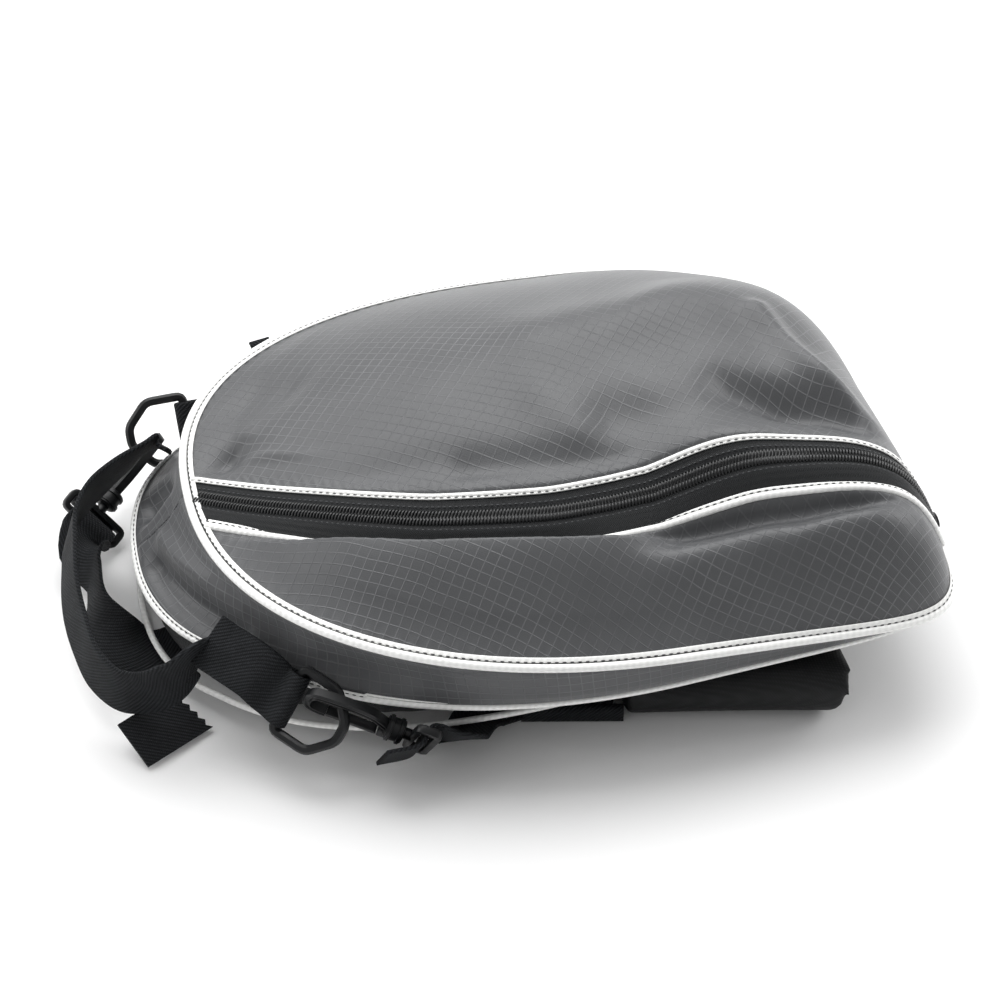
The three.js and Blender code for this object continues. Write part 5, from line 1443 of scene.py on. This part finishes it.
def hook_pieces(side):
    name = side["name"]
    held = (side["ring_base"] + unit(np.array(side["ring_run"])) * RING_REACH * 0.82
            + unit(np.array(side["ring_bar"])) * RING_HALF * side["ring_across"])
    origin, axes = placed(held, side["hook_run"], side["hook_side"])
    at = (origin - axes[0] * side["hook_reach"] - axes[1] * RING_SEAT, axes)
    bow = catmull([(a * HOOK_LENGTH, s * EYE_HALF, 0) for a, s in BOW_ROWS], np.linspace(0, 1, 90))
    r = BARREL_R
    h = HOOK_LENGTH
    barrel_rows = [(h, 0.4), (h, r - 0.4), (h + 0.2, r), (h + 0.7, r), (h + 0.9, r + 0.7), (h + 2.3, r + 0.8),
                   (h + 2.5, r), (h + 5.5, r), (h + 5.7, r + 0.8), (h + 7.1, r + 0.7), (h + 7.3, r),
                   (h + 7.8, r), (h + 8, r - 0.4), (h + 8, 0.4)]
    lug_at = (GATE_PIVOT + GATE_THICK / 2 + GAP + 1.7, GATE_THICK / 2 - EYE_HALF, 0)
    parts = [
        bar(f"bow_{name}", bow, (0, 0, 1), GROOVED, ACETAL, at),
        turned(f"barrel_{name}", barrel_rows, ACETAL, at),
        block(f"lug_{name}", 3.4, 7.0, GATE_WIDTH, 0.8, ACETAL, at, lug_at),
    ]
    settle(joined(f"snap_hook_{name}", parts), stands_for=(f"hook_{name}",))
    half = GATE_THICK / 2
    round_end = np.linspace(0, 1.45, 7)
    xs = np.concatenate([[GATE_START, GATE_START + 0.3], np.linspace(GATE_START + 2, GATE_PIVOT, 8),
                         GATE_PIVOT + half * np.sin(round_end[1:])])
    halves = np.concatenate([[half - 0.3, half], np.full(8, half), half * np.cos(round_end[1:])])
    rings = np.array([bar_section(GATE_WIDTH, 2 * v, min(0.6, 0.9 * v), 1, 3) for v in halves])
    gate = bar(f"gate_lever_{name}", np.column_stack([xs, np.full(len(xs), -EYE_HALF), np.zeros(len(xs))]),
               (0, 0, 1), rings, ACETAL, at)
    settle(gate, f"{name}_gate", (f"hook_gate_{name}",))
    loop_at = placed(in_frame(at, (LOOP_START, 0, 0)), side["hook_run"], side["loop_side"])
    w = LOOP_WIDTH / 2 - LOOP_BAR / 2
    outline = rounded([(LOOP_BAR / 2, -w, 0), (LOOP_DEPTH - LOOP_BAR / 2, -w, 0),
                       (LOOP_DEPTH - LOOP_BAR / 2, w, 0), (LOOP_BAR / 2, w, 0)], 2.4)
    loop_parts = [
        bar(f"loop_frame_{name}", outline, (0, 0, 1), bar_section(LOOP_THICK, LOOP_BAR, 0.9, 1, 3),
            ACETAL, loop_at, True),
        turned(f"stem_{name}", [(-2.5, 0.3), (-2.5, 2.5), (-2.3, 2.6), (1, 2.6), (1, 0.3)], ACETAL,
               loop_at, 20),
    ]
    settle(joined(f"swivel_loop_{name}", loop_parts), stands_for=(f"hook_loop_{name}",))

    def through(x, z):
        return in_frame(loop_at, (x, 0, z))

    turn = 1 if side["drop"] > 0 else -1
    knots = [
        through(LOOP_DEPTH / 2 - side["back"], -side["drop"]),
        through(LOOP_DEPTH / 2 - 0.8, -turn * LOOP_THICK * 1.2),
        through(LOOP_DEPTH / 2, 0),
        through(LOOP_DEPTH / 2 + 0.8, turn * LOOP_THICK),
        through(LOOP_DEPTH - LOOP_BAR / 2, turn * LOOP_THICK * 1.35),
        through(LOOP_DEPTH + 6, turn * LOOP_THICK * 1.3),
    ] + side["strap"]
    widths = [loop_at[1][1]] * 6 + [np.array(a, float) for a in side["strap_across"]]
    strap = ribbon(f"strap_{name}", knots, widths, WEB_SECTION)
    settle(strap, stands_for=(f"strap_webbing_{name}",))


for side in SIDES:
    ring_piece(side)
    tab_piece(side)
    hook_pieces(side)

side_tab_across = [(0.78, 0.6, 0.1)] * 4
side_tab = ribbon("side_tab_webbing", [place(-0.698, 0.7718, 0.6466), place(-0.715, 0.8225, 0.66),
                                       place(-0.725, 0.8709, 0.73), place(-0.735, 0.9247, 0.79)],
                  side_tab_across, bar_section(11, WEBBING_THICK, 0.75, 5, 4))
settle(side_tab, stands_for=("side_tab_far",))


# Floor, light and camera
def studio():
    floor_mesh = bpy.data.meshes.new("floor")
    s = 3.0
    floor_mesh.from_pydata([(-s, -s, 0), (s, -s, 0), (s, s, 0), (-s, s, 0)], [], [(0, 1, 2, 3)])
    material, tree, shader = blank("studio_floor_white", 0.7)
    place_on = node(tree, "ShaderNodeTexCoord").outputs["Object"]
    two_tones(tree, shader, "#f4f4f4", "#fafafa", mottled(tree, place_on, 2.0))
    floor_mesh.materials.append(material)
    floor = bpy.data.objects.new("floor", floor_mesh)
    bpy.context.scene.collection.objects.link(floor)

    world = bpy.data.worlds.new("studio")
    bpy.context.scene.world = world
    world.use_nodes = True
    back = world.node_tree.nodes["Background"]
    back.inputs["Color"].default_value = (1, 1, 1, 1)
    # Brighter behind the bag than in front of it, as in a light tent with an open front
    side = node(world.node_tree, "ShaderNodeTexCoord").outputs["Generated"]
    depth = node(world.node_tree, "ShaderNodeSeparateXYZ", {0: side}).outputs["Y"]
    level = node(world.node_tree, "ShaderNodeMapRange", {0: depth, 1: -0.9, 2: 0.6, 3: 0.3, 4: 0.8})
    world.node_tree.links.new(level.outputs[0], back.inputs["Strength"])

    # Soft boxes: name, place, size, power, aim, all in metres and watts
    boxes = [
        ("overhead", (0.1, 0.8, 1.5), 1.7, 25, (0, 0, 0.05)),
        ("left", (-1.6, 0.35, 0.9), 1.1, 8, (0, 0, 0.05)),
        ("right", (1.6, 0.25, 0.8), 1.1, 9, (0, 0, 0.05)),
    ]
    for name, where, size, power, aim in boxes:
        lamp = bpy.data.lights.new(name, "AREA")
        lamp.shape = "SQUARE"
        lamp.size = size
        lamp.energy = power
        made = bpy.data.objects.new(name, lamp)
        made.location = where
        made.rotation_euler = (Vector(aim) - Vector(where)).to_track_quat("-Z", "Y").to_euler()
        bpy.context.scene.collection.objects.link(made)


def photo_camera():
    camera = bpy.data.cameras.new("camera")
    camera.lens = 91.58
    camera.sensor_width = 36
    camera.shift_x = -0.062
    camera.shift_y = -0.007
    camera.clip_start = 0.05
    camera.clip_end = 20
    made = bpy.data.objects.new("camera", camera)
    right, up, back = (0.96815, -0.25038, 0.0), (0.16754, 0.64782, 0.74314), (-0.18607, -0.71947, 0.66913)
    turn = Matrix((right, up, back)).transposed().to_4x4()
    made.matrix_world = Matrix.Translation(Vector((-0.1818, -0.8624, 0.8430))) @ turn
    bpy.context.scene.collection.objects.link(made)
    bpy.context.scene.camera = made


studio()
photo_camera()
bpy.context.scene.view_settings.view_transform = "Standard"
bpy.context.scene.view_settings.exposure = 0.12
